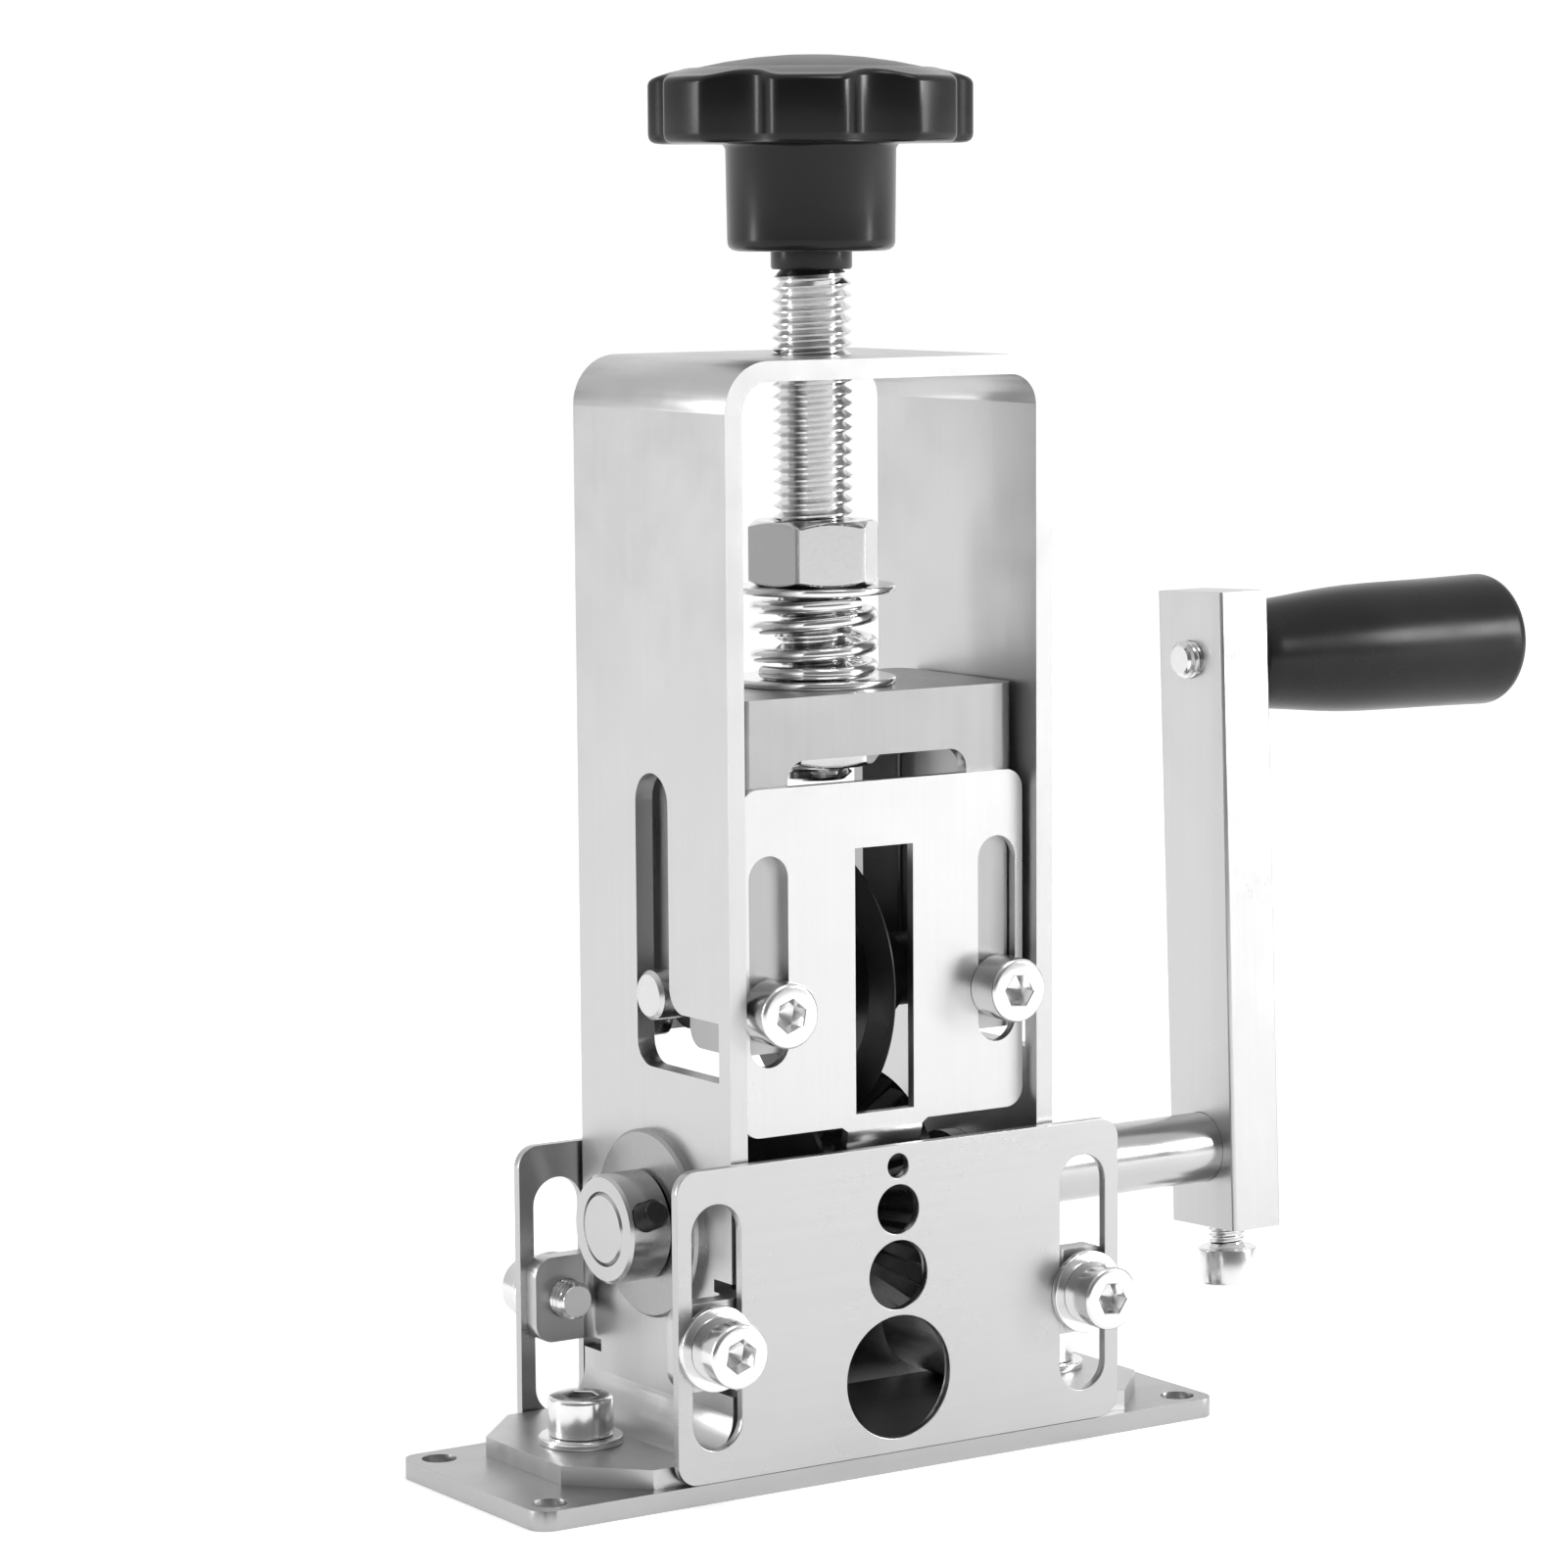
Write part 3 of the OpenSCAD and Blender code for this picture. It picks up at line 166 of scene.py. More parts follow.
def grub_screw(shape, radius, length, af, place, pitch=1.0, turn=TAU / 24):
    """Grub screw from z = 0 up, with its hexagon socket at the top."""
    socket = hexagon(af, turn)
    corner = af / 2 / math.cos(TAU / 12)
    tip = radius - 0.75
    thread(shape, radius - 0.02, radius - 0.5, pitch, 0, length - 0.02, tip=tip, place=place, n=40)
    lathe(shape, [
        (0.01, length - 3.4), (socket, length - 2.8), (socket, length - 0.3),
        (corner + 0.1, length + 0.0), (tip, length + 0.0)
    ], place, n=48)


def nut(shape, af, height, bore, turn, place):
    """Hexagon nut with conical chamfers, standing on z = 0."""
    flat = hexagon(af, turn)
    corner = af / 2 / math.cos(TAU / 12)
    face = af / 2 * 0.965
    slope = math.tan(math.radians(27))

    def ring(z):
        rim = face + min(z, height - z) / slope
        edge = 0.22

        def r(t):
            q = min(flat(t), corner - 0.12)
            return q if rim > q + edge else min(rim, q) - max(0.0, edge - abs(rim - q)) * 0.25
        return r

    high = (corner - face) * slope + 0.2
    steps = [high * i / 9 for i in range(10)]
    outer = [(ring(z), z) for z in steps] + [(ring(height - z), height - z) for z in reversed(steps)]
    inner = [(bore + 0.9, height), (bore, height - 0.9), (bore, 0.9), (bore + 0.9, 0.0)]
    lathe(shape, outer + inner, place, n=144, closed=True)


def at(x, y, z):
    return Matrix.Translation((x, y, z))


def facing(direction):
    """Turns +Z to the given direction."""
    return Vector(direction).to_track_quat("Z", "Y").to_matrix().to_4x4()


def box_mm(node):
    lo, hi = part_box(node)
    return Vector(lo) / MM, Vector(hi) / MM


# Materials

def nodes_of(name):
    mat = bpy.data.materials.new(name)
    mat.use_nodes = True
    tree = mat.node_tree
    shader = next(n for n in tree.nodes if n.type == "BSDF_PRINCIPLED")
    return mat, tree, shader


def tex_noise(tree, coord, scale, detail=4.0, rough=0.55, stretch=(1, 1, 1), turn=(0, 0, 0)):
    mapping = tree.nodes.new("ShaderNodeMapping")
    mapping.inputs["Scale"].default_value = stretch
    mapping.inputs["Rotation"].default_value = turn
    tree.links.new(coord, mapping.inputs["Vector"])
    tex = tree.nodes.new("ShaderNodeTexNoise")
    tex.inputs["Scale"].default_value = scale
    tex.inputs["Detail"].default_value = detail
    tex.inputs["Roughness"].default_value = rough
    tree.links.new(mapping.outputs["Vector"], tex.inputs["Vector"])
    return tex.outputs["Fac"]


def ramp(tree, value, stops):
    node = tree.nodes.new("ShaderNodeValToRGB")
    while len(node.color_ramp.elements) < len(stops):
        node.color_ramp.elements.new(0.5)
    for element, (pos, grey) in zip(node.color_ramp.elements, stops):
        element.position = pos
        colour = grey if isinstance(grey, tuple) else (grey, grey, grey)
        element.color = (*colour, 1)
    tree.links.new(value, node.inputs["Fac"])
    return node.outputs["Color"]


def spread(tree, value, low, high, a=0.3, b=0.7):
    node = tree.nodes.new("ShaderNodeMapRange")
    for key, v in (("From Min", a), ("From Max", b), ("To Min", low), ("To Max", high)):
        node.inputs[key].default_value = v
    tree.links.new(value, node.inputs["Value"])
    return node.outputs["Result"]


def mix(tree, a, b, factor, kind="MIX"):
    node = tree.nodes.new("ShaderNodeMix")
    node.data_type = "RGBA"
    node.blend_type = kind
    if isinstance(factor, float):
        node.inputs[0].default_value = factor
    else:
        tree.links.new(factor, node.inputs[0])
    tree.links.new(a, node.inputs[6])
    tree.links.new(b, node.inputs[7])
    return node.outputs[2]


def bump(tree, shader, height, strength, distance, before=None):
    node = tree.nodes.new("ShaderNodeBump")
    node.inputs["Strength"].default_value = strength
    node.inputs["Distance"].default_value = distance
    tree.links.new(height, node.inputs["Height"])
    if before is not None:
        tree.links.new(before, node.inputs["Normal"])
    tree.links.new(node.outputs["Normal"], shader.inputs["Normal"])
    return node.outputs["Normal"]


def object_coord(tree):
    return tree.nodes.new("ShaderNodeTexCoord").outputs["Object"]


def metal(name, grey, rough, grain=(1, 1, 0.03), grain_scale=900, vary=0.05, bumps=0.05, tint=(1, 1, 1),
          blotch=60, rough_vary=0.06, pits=0.0, metallic=1.0):
    """Plated or ground metal: fine drawn grain, cloudy colour and gloss, small scratches."""
    mat, tree, shader = nodes_of(name)
    coord = object_coord(tree)
    fine = tex_noise(tree, coord, grain_scale, 3.0, 0.6, grain)
    cloud = tex_noise(tree, coord, blotch, 4.0, 0.6)
    speck = tex_noise(tree, coord, 2600, 2.0, 0.5)

    def shade(v):
        return tuple(min(1.0, grey * v * c) for c in tint)

    grain_colour = ramp(tree, fine, [(0.25, shade(1 - vary)), (0.75, shade(1 + vary))])
    cloud_colour = ramp(tree, cloud, [(0.3, shade(1 - vary)), (0.7, shade(1 + vary * 0.8))])
    tree.links.new(mix(tree, grain_colour, cloud_colour, 0.5), shader.inputs["Base Color"])
    shader.inputs["Metallic"].default_value = metallic
    low = spread(tree, cloud, max(0.04, rough - rough_vary), rough + rough_vary)
    lines = tex_noise(tree, coord, grain_scale * 0.6, 2.0, 0.5, grain)
    scratch = spread(tree, lines, 0.0, rough_vary, 0.55, 0.8)
    add = tree.nodes.new("ShaderNodeMath")
    add.operation = "ADD"
    tree.links.new(low, add.inputs[0])
    tree.links.new(scratch, add.inputs[1])
    tree.links.new(add.outputs[0], shader.inputs["Roughness"])
    first = bump(tree, shader, fine, bumps, 0.00012)
    if pits:
        bump(tree, shader, speck, pits, 0.0001, first)
    return mat


def turned(name, grey, rough, centre, axis="X", vary=0.05, bumps=0.12, rings=900, metallic=1.0):
    """Metal with rings left by turning or grinding about an axis along X through the given point."""
    mat, tree, shader = nodes_of(name)
    coord = object_coord(tree)
    mapping = tree.nodes.new("ShaderNodeMapping")
    mapping.inputs["Location"].default_value = [-c * MM for c in centre]
    tree.links.new(coord, mapping.inputs["Vector"])
    wave = tree.nodes.new("ShaderNodeTexWave")
    wave.wave_type = "RINGS"
    wave.rings_direction = axis
    wave.inputs["Scale"].default_value = rings
    wave.inputs["Distortion"].default_value = 1.2
    wave.inputs["Detail"].default_value = 2.0
    wave.inputs["Detail Scale"].default_value = 3.0
    tree.links.new(mapping.outputs["Vector"], wave.inputs["Vector"])
    cloud = tex_noise(tree, coord, 90, 4.0, 0.6)
    lines = ramp(tree, wave.outputs["Fac"], [(0.0, grey * (1 - vary)), (1.0, grey * (1 + vary))])
    shades = ramp(tree, cloud, [(0.3, grey * (1 - vary)), (0.7, grey * (1 + vary))])
    tree.links.new(mix(tree, lines, shades, 0.5), shader.inputs["Base Color"])
    shader.inputs["Metallic"].default_value = metallic
    tree.links.new(spread(tree, cloud, rough - 0.05, rough + 0.06), shader.inputs["Roughness"])
    bump(tree, shader, wave.outputs["Fac"], bumps, 0.00005)
    return mat


def plastic(name, grey, rough, peel=0.04, peel_scale=700, coat=0.0, vary=0.25, specular=0.5):
    """Moulded plastic with a faint pebbled skin and patches that are rubbed a little duller."""
    mat, tree, shader = nodes_of(name)
    coord = object_coord(tree)
    skin = tex_noise(tree, coord, peel_scale, 3.0, 0.5)
    patch = tex_noise(tree, coord, 45, 3.0, 0.6)
    shades = ramp(tree, patch, [(0.3, grey * (1 - vary)), (0.7, grey * (1 + vary))])
    tree.links.new(shades, shader.inputs["Base Color"])
    tree.links.new(spread(tree, patch, rough - 0.03, rough + 0.05), shader.inputs["Roughness"])
    shader.inputs["Specular IOR Level"].default_value = specular
    shader.inputs["Coat Weight"].default_value = coat
    shader.inputs["Coat Roughness"].default_value = 0.12
    bump(tree, shader, skin, peel, 0.0002)
    return mat


SY = 3.0    # the middle of the shaft, blade and screw in y
SHAFT_Z = (box_mm("drive_wheel")[0].z + box_mm("drive_wheel")[1].z) / 2
AXLE_Z = (box_mm("blade_axle")[0].z + box_mm("blade_axle")[1].z) / 2

sheet = metal("sheet_zinc", 0.55, 0.36, (1, 1, 0.02), 800, 0.025, 0.04, pits=0.02)
carriage_metal = metal("carriage_zinc", 0.38, 0.33, (1, 1, 0.02), 800, 0.04, 0.05, pits=0.03)
plate_metal = metal("guide_zinc", 0.51, 0.30, (0.02, 1, 1), 700, 0.03, 0.03, pits=0.01)
guard_metal = metal("guard_zinc", 0.61, 0.32, (1, 1, 0.02), 700, 0.03, 0.03, pits=0.01)
base_metal = metal("base_zinc", 0.44, 0.34, (0.02, 1, 1), 700, 0.04, 0.08, pits=0.12)
screw_metal = metal("screw_nickel", 0.80, 0.20, (1, 1, 1), 1500, 0.04, 0.03, rough_vary=0.04)
washer_metal = metal("washer_nickel", 0.78, 0.16, (1, 1, 1), 1300, 0.05, 0.05, rough_vary=0.05)
nut_metal = metal("nut_nickel", 0.66, 0.15, (1, 1, 1), 1300, 0.05, 0.04, rough_vary=0.05)
thread_metal = metal("thread_zinc", 0.74, 0.16, (1, 1, 0.3), 1500, 0.07, 0.08, rough_vary=0.07)
spring_metal = metal("spring_wire", 0.76, 0.12, (1, 1, 1), 1500, 0.05, 0.03, rough_vary=0.04)
arm_metal = metal("arm_zinc", 0.56, 0.32, (1, 1, 0.02), 700, 0.035, 0.05, pits=0.04)
bearing_metal = turned("bearing_turned", 0.37, 0.26, (0, SY, SHAFT_Z))
shaft_metal = turned("shaft_turned", 0.52, 0.20, (0, SY, SHAFT_Z))
black_oxide = metal("black_oxide", 0.030, 0.34, (1, 1, 1), 900, 0.25, 0.08, rough_vary=0.07, metallic=0.6)
wheel_black = metal("wheel_black", 0.075, 0.22, (1, 1, 1), 900, 0.20, 0.06, rough_vary=0.06, metallic=0.9)
blade_black = turned("blade_black", 0.035, 0.30, (0, SY, AXLE_Z), vary=0.25, bumps=0.10, rings=500,
                     metallic=0.7)
axle_metal = turned("axle_turned", 0.62, 0.28, (0, SY, AXLE_Z))
grip_black = plastic("grip_black", 0.010, 0.27, 0.04, 900, specular=0.22)
knob_black = plastic("knob_black", 0.006, 0.24, 0.03, 500, coat=0.1, specular=0.25)
disc_black = plastic("knob_disc_black", 0.022, 0.34, 0.02, 900, specular=0.3)

for node, material in {
    "base_plate": base_metal, "frame": sheet, "foot_washers": washer_metal,
    "front_guide_plate": plate_metal, "rear_guide_plate": plate_metal,
    "front_guide_washers": washer_metal, "rear_guide_washers": washer_metal,
    "left_bearing": bearing_metal, "right_bearing": bearing_metal,
    "drive_shaft": shaft_metal, "shaft_collars": shaft_metal, "drive_wheel": wheel_black,
    "wheel_key": black_oxide, "wheel_grub_screw": black_oxide, "crank_arm": arm_metal,
    "handle_grip": grip_black, "grip_cap": grip_black, "knob": knob_black, "knob_sleeve": knob_black,
    "upper_spring_washer": washer_metal, "lower_spring_washer": washer_metal,
    "blade_carriage": carriage_metal, "blade_axle": axle_metal, "axle_spacers": black_oxide,
    "blade": blade_black, "blade_hubs": black_oxide, "guard_plate": guard_metal,
    "foot_screws": screw_metal, "front_guide_screws": screw_metal, "rear_guide_screws": screw_metal,
    "guard_screws": screw_metal, "crank_clamp_screw": screw_metal, "collar_grub_screws": black_oxide,
    "handle_spindle": thread_metal, "adjusting_screw": thread_metal, "upper_nut": nut_metal,
    "lifting_nut": nut_metal, "pressure_spring": spring_metal,
}.items():
    mesh = NODES[node].data
    mesh.materials.clear()
    mesh.materials.append(material)


def soften(node, width, segments=2, limit=32):
    """Rounds the sharp edges of a CAD node with modifiers; its own mesh stays as it is."""
    ob = NODES[node]
    join = ob.modifiers.new("join", "WELD")
    join.merge_threshold = 0.000004
    flat = ob.modifiers.new("flat", "DECIMATE")
    flat.decimate_type = "DISSOLVE"
    flat.angle_limit = math.radians(0.6)
    bevel = ob.modifiers.new("edges", "BEVEL")
    bevel.width = width * MM
    bevel.segments = segments
    bevel.limit_method = "ANGLE"
    bevel.angle_limit = math.radians(limit)
    bevel.use_clamp_overlap = True
    bevel.harden_normals = True
    bevel.miter_outer = "MITER_ARC"


for node, width in {
    "base_plate": 0.35, "frame": 0.25, "front_guide_plate": 0.22, "rear_guide_plate": 0.22,
    "guard_plate": 0.22, "blade_carriage": 0.25, "crank_arm": 0.3, "foot_washers": 0.25,
    "front_guide_washers": 0.25, "rear_guide_washers": 0.25, "upper_spring_washer": 0.35,
    "lower_spring_washer": 0.35,
}.items():
    soften(node, width)


# Cap screws

def pair(node, direction, length, name, body, head_r=6.5, head_h=8.0):
    lo, hi = box_mm(node)
    shape = Shape()
    axis = Vector(direction)
    for i, x in enumerate((lo.x + head_r, hi.x - head_r)):
        seat = Vector((x, (lo.y + hi.y) / 2, (lo.z + hi.z) / 2))
        for k in (1, 2):
            if axis[k] > 0:
                seat[k] = hi[k] - head_h
            elif axis[k] < 0:
                seat[k] = lo[k] + head_h
        cap_screw(shape, length, at(*seat) @ facing(axis), turn=TAU / 72 * (4 + 7 * i))
    return shape.make(name, [screw_metal], body, [node])


pair("foot_screws", (0, 0, 1), 9.0, "foot_cap_screws", "stand")
pair("front_guide_screws", (0, -1, 0), 12.0, "front_cap_screws", "stand")
pair("rear_guide_screws", (0, 1, 0), 12.0, "rear_cap_screws", "stand")
pair("guard_screws", (0, -1, 0), 8.0, "guard_cap_screws", "carriage")

LEAN = math.radians(2.4)    # the crank arm's lean from upright
CLAMP_SEAT = 22.4           # from the shaft's middle to the seat of the arm's clamp screw
lean_axis = Vector((0, math.sin(LEAN), math.cos(LEAN)))
lo, hi = box_mm("crank_clamp_screw")
clamp = Shape()
pivot = Vector(((lo.x + hi.x) / 2, SY, SHAFT_Z))
cap_screw(clamp, 14.0, at(*(pivot - lean_axis * CLAMP_SEAT)) @ facing(-lean_axis), turn=TAU / 18)
clamp.make("clamp_cap_screw", [screw_metal], "crank", ["crank_clamp_screw"])

# Grub screws in the collars, turned 20 degrees up from the front
grubs = Shape()
lo, hi = box_mm("collar_grub_screws")
up = math.radians(20)
GRUB_R, GRUB_L, GRUB_FOOT = 3.0, 7.98, 7.56
for x in (lo.x + GRUB_R, hi.x - GRUB_R):
    direction = Vector((0, -math.cos(up), math.sin(up)))
    foot = Vector((x, SY, SHAFT_Z)) + direction * GRUB_FOOT
    grub_screw(grubs, GRUB_R, GRUB_L, 3.0, at(*foot) @ facing(direction))
grubs.make("collar_grubs", [black_oxide], "crank", ["collar_grub_screws"])

# Handle spindle: threaded end in the arm, plain pin in the grip, head at the far end
lo, hi = box_mm("handle_spindle")
spindle = Shape()
GRIP_UP = 105.0
grip_axis = Vector((0, SY, SHAFT_Z)) + lean_axis * GRIP_UP
along = facing((1, 0, 0))
start = at(lo.x, grip_axis.y, grip_axis.z) @ along
thread(spindle, 3.95, 3.35, 1.25, 0, 14.0, tip=2.95, place=start, n=48)
length = hi.x - lo.x
lathe(spindle, [
    (0.01, 13), (3.9, 13), (4.0, 13.4), (4.0, length - 5), (6.1, length - 5), (6.5, length - 4.6),
    (6.5, length - 0.5), (6.0, length), (0.01, length)
], start, n=56)
spindle.make("spindle", [thread_metal], "crank", ["handle_spindle"])

# Grip: turned body that swells from the arm and rounds over at the far end
lo, hi = box_mm("handle_grip")
profile = [(4.15, 0.0), (10.6, 0.0), (11.1, 0.25), (11.3, 0.8)]
for x, r in ((4.0, 11.46), (9.6, 12.0), (14.0, 12.42), (17.6, 12.8), (21.6, 13.2), (26.1, 13.56),
             (30.6, 13.8), (36.0, 13.93), (43.0, 14.0), (51.6, 14.1), (59.6, 14.25), (64.0, 14.35)):
    profile.append((r, x))
grip_len = hi.x - lo.x
for i in range(9):
    a = math.radians(90 * i / 8)
    profile.append((14.42 - 3.4 + 3.4 * math.cos(a), grip_len - 3.4 + 3.4 * math.sin(a)))
profile += [(6.9, grip_len), (6.62, grip_len - 0.3), (6.62, grip_len - 12.0), (4.15, grip_len - 12.0)]
grip = Shape()
lathe(grip, profile, at(lo.x, grip_axis.y, grip_axis.z) @ along, n=96, closed=True)
grip.make("grip", [grip_black], "grip", ["handle_grip"], angle=40)
lo, hi = box_mm("grip_cap")
plug = Shape()
cap_len = hi.x - lo.x
lathe(plug, [(0.01, 0), (6.5, 0), (6.5, cap_len - 0.9), (6.3, cap_len - 0.6), (5.4, cap_len - 0.35),
             (2.0, cap_len - 0.2), (0.01, cap_len - 0.2)],
      at(lo.x, grip_axis.y, grip_axis.z) @ along, n=64)
plug.make("grip_plug", [grip_black], "grip", ["grip_cap"])

# Adjusting screw with its thread, and the neck in the knob
lo, hi = box_mm("adjusting_screw")
neck_z = box_mm("knob_sleeve")[0].z
axis_x, axis_y = (lo.x + hi.x) / 2, (lo.y + hi.y) / 2
PITCH = 2.4
screw = Shape()
thread(screw, 7.97, 6.5, PITCH, lo.z, neck_z - 0.02, tip=6.2, place=at(axis_x, axis_y, 0), n=96)
lathe(screw, [(5.98, neck_z - 1), (5.98, hi.z - 0.5), (5.5, hi.z), (0.01, hi.z)], at(axis_x, axis_y, 0), n=64)
screw.make("threaded_screw", [thread_metal], "screw", ["adjusting_screw"], angle=28)

# Nuts
for node in ("upper_nut", "lifting_nut"):
    lo, hi = box_mm(node)
    shape = Shape()
    nut(shape, 24.0, hi.z - lo.z, 8.05, math.radians(44), at(axis_x, axis_y, lo.z))
    shape.make(node + "_chamfered", [nut_metal], "screw", [node], angle=24)

# Pressure spring: one round wire with flat closing ends
lo, hi = box_mm("pressure_spring")
WIRE, COIL = 2.7, 26.0
TOP_P, MID_P, LOW_P, TURNS = 3.2, 6.2, 4.5, 3.3
spring_top = hi.z - WIRE / 2


def fall(t):
    if t < 1:
        return TOP_P * t
    if t < 2:
        return TOP_P + MID_P * (t - 1)
    return min(TOP_P + MID_P + LOW_P * (t - 2), TOP_P + MID_P + LOW_P)


def smooth_fall(t, half=0.09):
    return sum(fall(min(max(t + half * k / 4, 0), TURNS)) for k in range(-4, 5)) / 9


spring = Shape()
steps, sides = 190, 20
verts, faces = [], []
for i in range(steps + 1):
    t = TURNS * i / steps
    a = -math.radians(75) - TAU * t
    cx, cy, cz = (COIL - WIRE) / 2 * math.cos(a), (COIL - WIRE) / 2 * math.sin(a), spring_top - smooth_fall(t)
    for k in range(sides):
        b = TAU * k / sides
        out = WIRE / 2 * math.cos(b)
        verts.append((cx + out * math.cos(a), cy + out * math.sin(a), cz + WIRE / 2 * math.sin(b)))
for i in range(steps):
    for k in range(sides):
        l = (k + 1) % sides
        faces.append((i * sides + k, i * sides + l, (i + 1) * sides + l, (i + 1) * sides + k))
faces.append(list(range(sides)))
faces.append([steps * sides + k for k in reversed(range(sides))])
spring.add(verts, faces, at(axis_x, axis_y, 0))
coil = spring.make("spring_coil", [spring_metal], "spring_seat", ["pressure_spring"],
                   angle=50)
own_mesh(coil)

# Knob: seven lobes with soft edges on a round hub, and a bare disc sunk in the domed top
lo, hi = box_mm("knob")
KNOB_R, HUB_R, HUB_H, RIM_H = 32.6, 17.1, 21.2, 12.5
LOBES, DEPTH, HOLLOW = 7, 4.0, 9.0
hollow_at = KNOB_R - DEPTH + HOLLOW


def lobed(t):
    u = (t + math.radians(124)) % (TAU / LOBES) - TAU / LOBES / 2
    s = hollow_at * math.sin(u)
    if abs(s) < HOLLOW:
        return min(KNOB_R, hollow_at * math.cos(u) - math.sqrt(HOLLOW ** 2 - s * s))
    return KNOB_R


def soft_lobed(t, width=math.radians(3.2)):
    return sum(lobed(t + width * k / 4) for k in range(-4, 5)) / 9 - 0.12


top = hi.z
drop = top - (lo.z + HUB_H + RIM_H)
dome_r = (KNOB_R ** 2 + drop ** 2) / (2 * drop)


def dome_z(r):
    return top - dome_r + math.sqrt(dome_r ** 2 - r * r)


rim_z = lo.z + HUB_H
n = 336
knob = Shape()
rings = []
for r, z in ((6.1, lo.z + 0.3), (6.4, lo.z), (HUB_R - 2.2, lo.z), (HUB_R - 1.3, lo.z + 0.25),
             (HUB_R - 0.65, lo.z + 0.75), (HUB_R - 0.35, lo.z + 1.5),
             (HUB_R - 0.3, lo.z + 2.4), (HUB_R - 0.05, lo.z + HUB_H - 1.0),
             (HUB_R + 0.35, lo.z + HUB_H - 0.3), (HUB_R + 0.9, rim_z)):
    rings.append([(r, z)] * n)
for inset, z in ((2.2, 0.0), (1.2, 0.15), (0.5, 0.55), (0.12, 1.2), (0.0, 2.0)):
    rings.append([(soft_lobed(TAU * k / n) - inset, rim_z + z) for k in range(n)])
edge = 1.9
for i in range(7):
    a = math.radians(90 * i / 6)
    row = []
    for k in range(n):
        r_out = soft_lobed(TAU * k / n)
        r = r_out - edge + edge * math.cos(a)
        crown = dome_z(r_out - edge)
        row.append((r, crown - edge * 0.9 + edge * 0.9 * math.sin(a)))
    rings.append(row)
DISC = 24.5
for f in (0.25, 0.5, 0.75, 1.0):
    row = []
    for k in range(n):
        r_out = soft_lobed(TAU * k / n) - edge
        r = r_out + (DISC + 0.5 - r_out) * f
        row.append((r, dome_z(r)))
    rings.append(row)
for r, down in ((DISC + 0.35, 0.02), (DISC + 0.12, 0.3), (DISC, 0.5)):
    rings.append([(r, dome_z(r) - down)] * n)
disc_from = len(rings) - 1
for r in (22.0, 17.0, 11.0, 5.0, 0.02):
    rings.append([(r, dome_z(r) - 0.45)] * n)
verts, faces = [], []
for row in rings:
    for k, (r, z) in enumerate(row):
        t = TAU * k / n
        verts.append((r * math.cos(t), r * math.sin(t), z))
for i in range(len(rings) - 1):
    for k in range(n):
        l = (k + 1) % n
        faces.append((i * n + k, i * n + l, (i + 1) * n + l, (i + 1) * n + k))
knob.add(verts, faces, at(axis_x, axis_y, 0))
knob.mats = [1 if f // n >= disc_from else 0 for f in range(len(faces))]
knob.make("star_knob", [knob_black, disc_black], "screw", ["knob"], angle=34)

# Plain sleeve between the knob and the thread
lo, hi = box_mm("knob_sleeve")
sleeve = Shape()
lathe(sleeve, [(6.1, hi.z), (8.15, hi.z), (8.15, lo.z + 0.5), (7.9, lo.z), (6.1, lo.z)],
      at(axis_x, axis_y, 0), n=72, closed=True)
sleeve.make("sleeve", [knob_black], "screw", ["knob_sleeve"])

# Floor, lights and camera

def plane(name, size, z, material):
    mesh = bpy.data.meshes.new(name)
    h = size / 2
    mesh.from_pydata([(-h, -h, z), (h, -h, z), (h, h, z), (-h, h, z)], [], [(0, 1, 2, 3)])
    mesh.materials.append(material)
    ob = bpy.data.objects.new(name, mesh)
    bpy.context.scene.collection.objects.link(ob)
    return ob


floor_mat, tree, shader = nodes_of("floor_paper")
coord = object_coord(tree)
paper = tex_noise(tree, coord, 14, 3.0, 0.5)
tree.links.new(ramp(tree, paper, [(0.3, 0.90), (0.7, 0.93)]), shader.inputs["Base Color"])
shader.inputs["Roughness"].default_value = 0.7
shader.inputs["Specular IOR Level"].default_value = 0.2
shader.inputs["Emission Color"].default_value = (1, 1, 1, 1)
shader.inputs["Emission Strength"].default_value = 0.36
bump(tree, shader, tex_noise(tree, coord, 900, 2.0, 0.5), 0.02, 0.0002)
plane("floor", 60.0, 0.0, floor_mat)

world = bpy.data.worlds.new("studio")
bpy.context.scene.world = world
world.use_nodes = True
tree = world.node_tree
background = next(n for n in tree.nodes if n.type == "BACKGROUND")
direction = tree.nodes.new("ShaderNodeTexCoord").outputs["Generated"]


def toward(vector, stops):
    """Grey by how far a direction points towards the vector."""
    dot = tree.nodes.new("ShaderNodeVectorMath")
    dot.operation = "DOT_PRODUCT"
    dot.inputs[1].default_value = Vector(vector).normalized()
    tree.links.new(direction, dot.inputs[0])
    return ramp(tree, dot.outputs["Value"], stops)


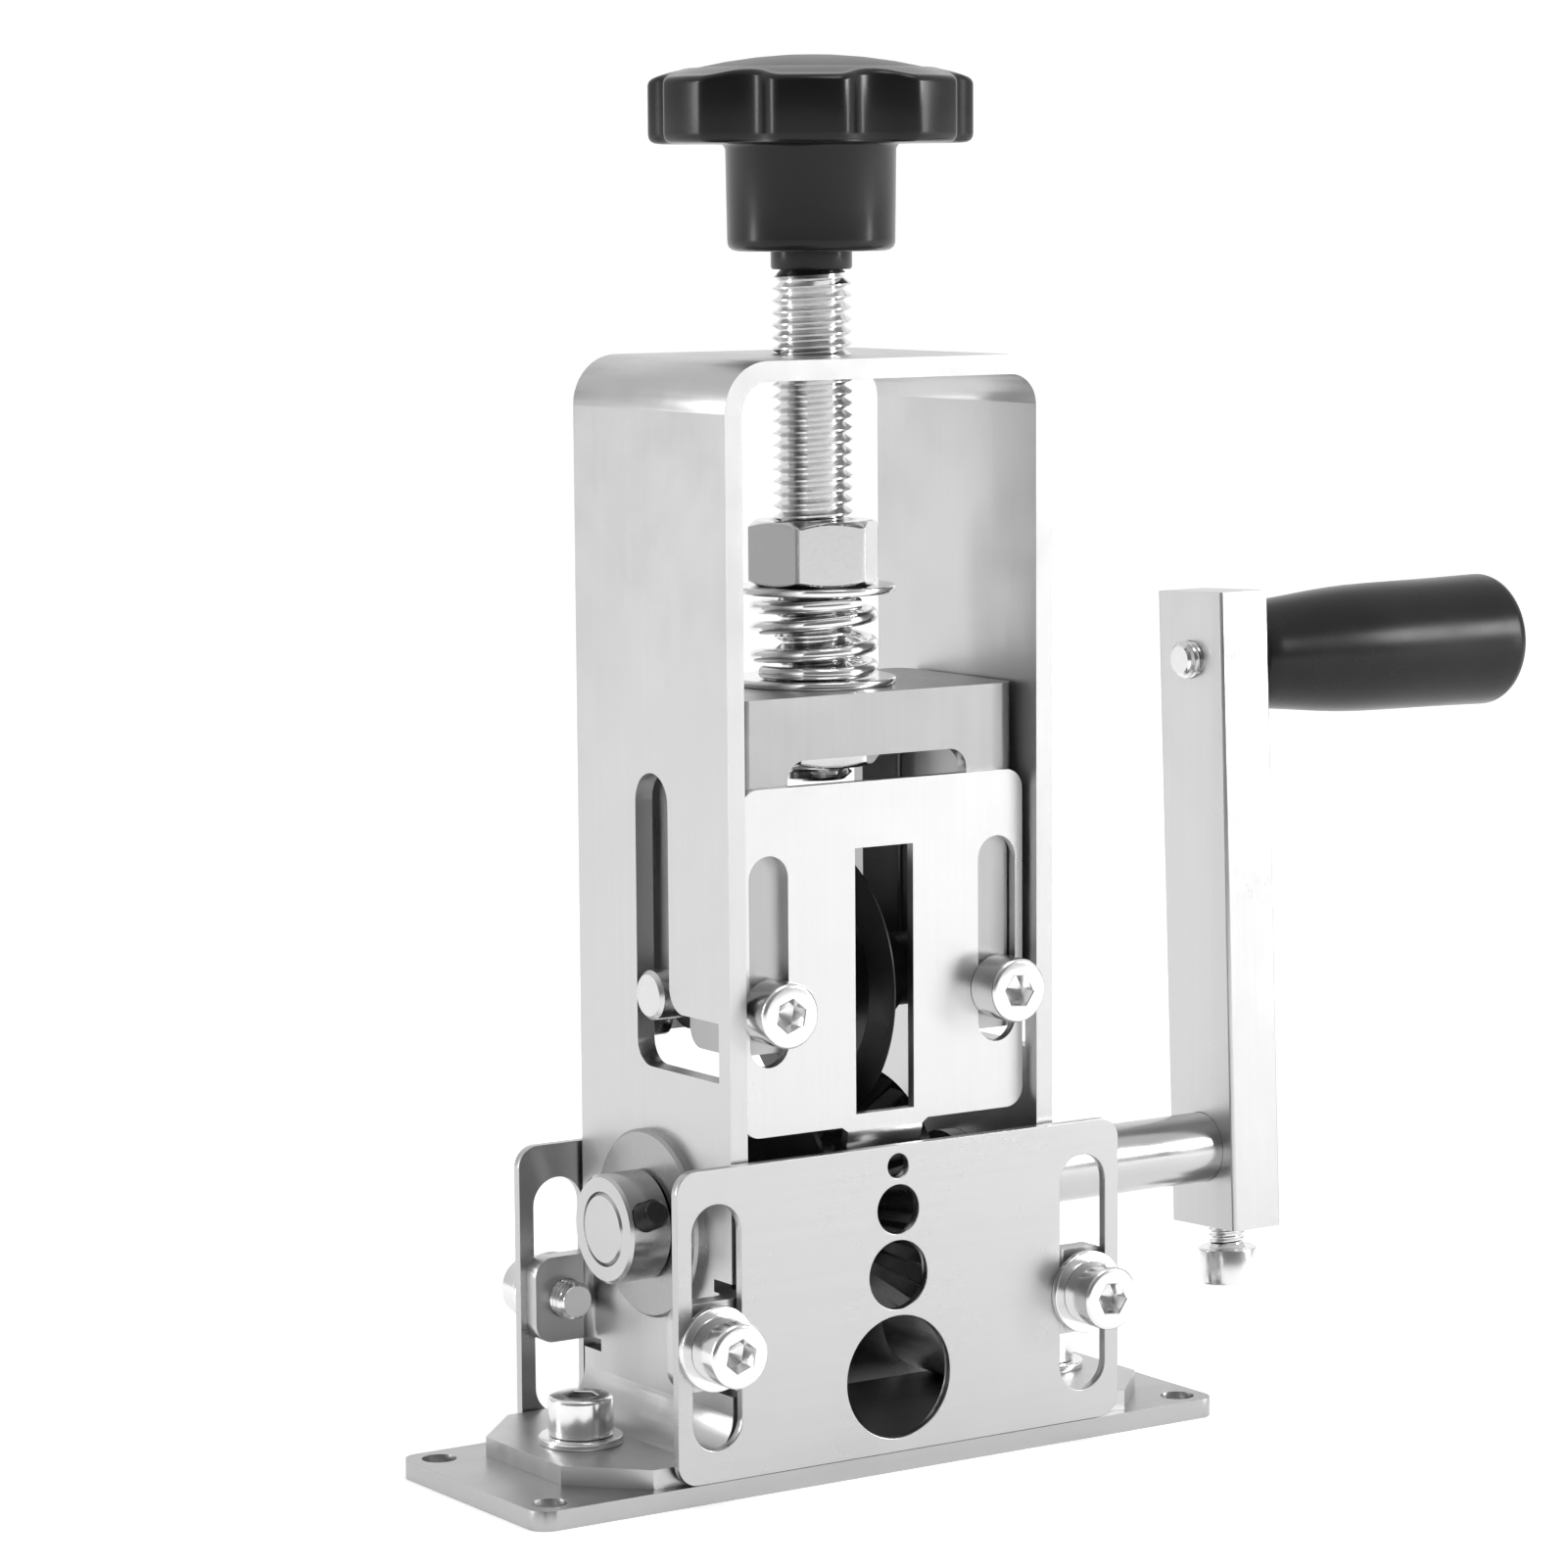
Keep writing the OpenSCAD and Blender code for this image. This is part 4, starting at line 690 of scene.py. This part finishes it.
sky = toward((0, 0, 1), [(0.0, 0.62), (0.3, 0.62), (0.6, 0.75), (0.95, 0.80)])
behind = toward((0.557, 0.82, 0.08), [(0.55, 0.0), (0.86, 1.0)])
dark_front = toward((-0.557, -0.82, 0.0), [(0.0, 1.0), (0.3, 0.86), (0.6, 0.46), (0.9, 0.28)])
sky = mix(tree, sky, dark_front, 1.0, "MULTIPLY")
tree.links.new(mix(tree, sky, behind, 1.0, "LIGHTEN"), background.inputs["Color"])
background.inputs["Strength"].default_value = 1.06


def area(name, place, target, size, watts, height=None):
    light = bpy.data.lights.new(name, "AREA")
    light.energy = watts
    light.size = size
    if height:
        light.shape = "RECTANGLE"
        light.size_y = height
    ob = bpy.data.objects.new(name, light)
    ob.location = place
    ob.rotation_euler = (Vector(target) - Vector(place)).to_track_quat("-Z", "Y").to_euler()
    bpy.context.scene.collection.objects.link(ob)
    return ob


MIDDLE = (0.02, 0, 0.12)
area("right_strip", (1.20, -1.14, 0.62), MIDDLE, 0.36, 9.0, 0.42)
area("left_strip", (-1.42, 0.82, 0.50), MIDDLE, 0.24, 6.5, 0.95)
area("right_low_strip", (1.30, -0.98, 0.45), MIDDLE, 0.20, 4.5, 0.85)
area("top_soft", (0.1, -0.5, 1.5), MIDDLE, 0.6, 4.5, 0.6)

# Camera fitted to named points of the object: focal length and centre in the image's pixels
IMAGE, FOCAL, CENTRE_X, CENTRE_Y = 1601.0, 5262.0, 872.44, 879.89

cam_data = bpy.data.cameras.new("photo_camera")
camera = bpy.data.objects.new("photo_camera", cam_data)
bpy.context.scene.collection.objects.link(camera)
position = Vector((-0.57283, -0.85756, 0.25680))
forward = Vector((0.5573, 0.8199, -0.1310)).normalized()
roll = math.radians(-0.31)
right0 = forward.cross(Vector((0, 0, 1))).normalized()
up0 = right0.cross(forward)
right = math.cos(roll) * right0 + math.sin(roll) * up0
upward = -math.sin(roll) * right0 + math.cos(roll) * up0
turn = Matrix((right, upward, -forward)).transposed().to_4x4()
camera.matrix_world = Matrix.Translation(position) @ turn
cam_data.sensor_width = 36.0
cam_data.lens = FOCAL / IMAGE * cam_data.sensor_width
cam_data.shift_x = -(CENTRE_X - IMAGE / 2) / IMAGE
cam_data.shift_y = (CENTRE_Y - IMAGE / 2) / IMAGE
cam_data.clip_start = 0.01
cam_data.clip_end = 200.0
bpy.context.scene.camera = camera
bpy.context.scene.view_settings.view_transform = "Standard"
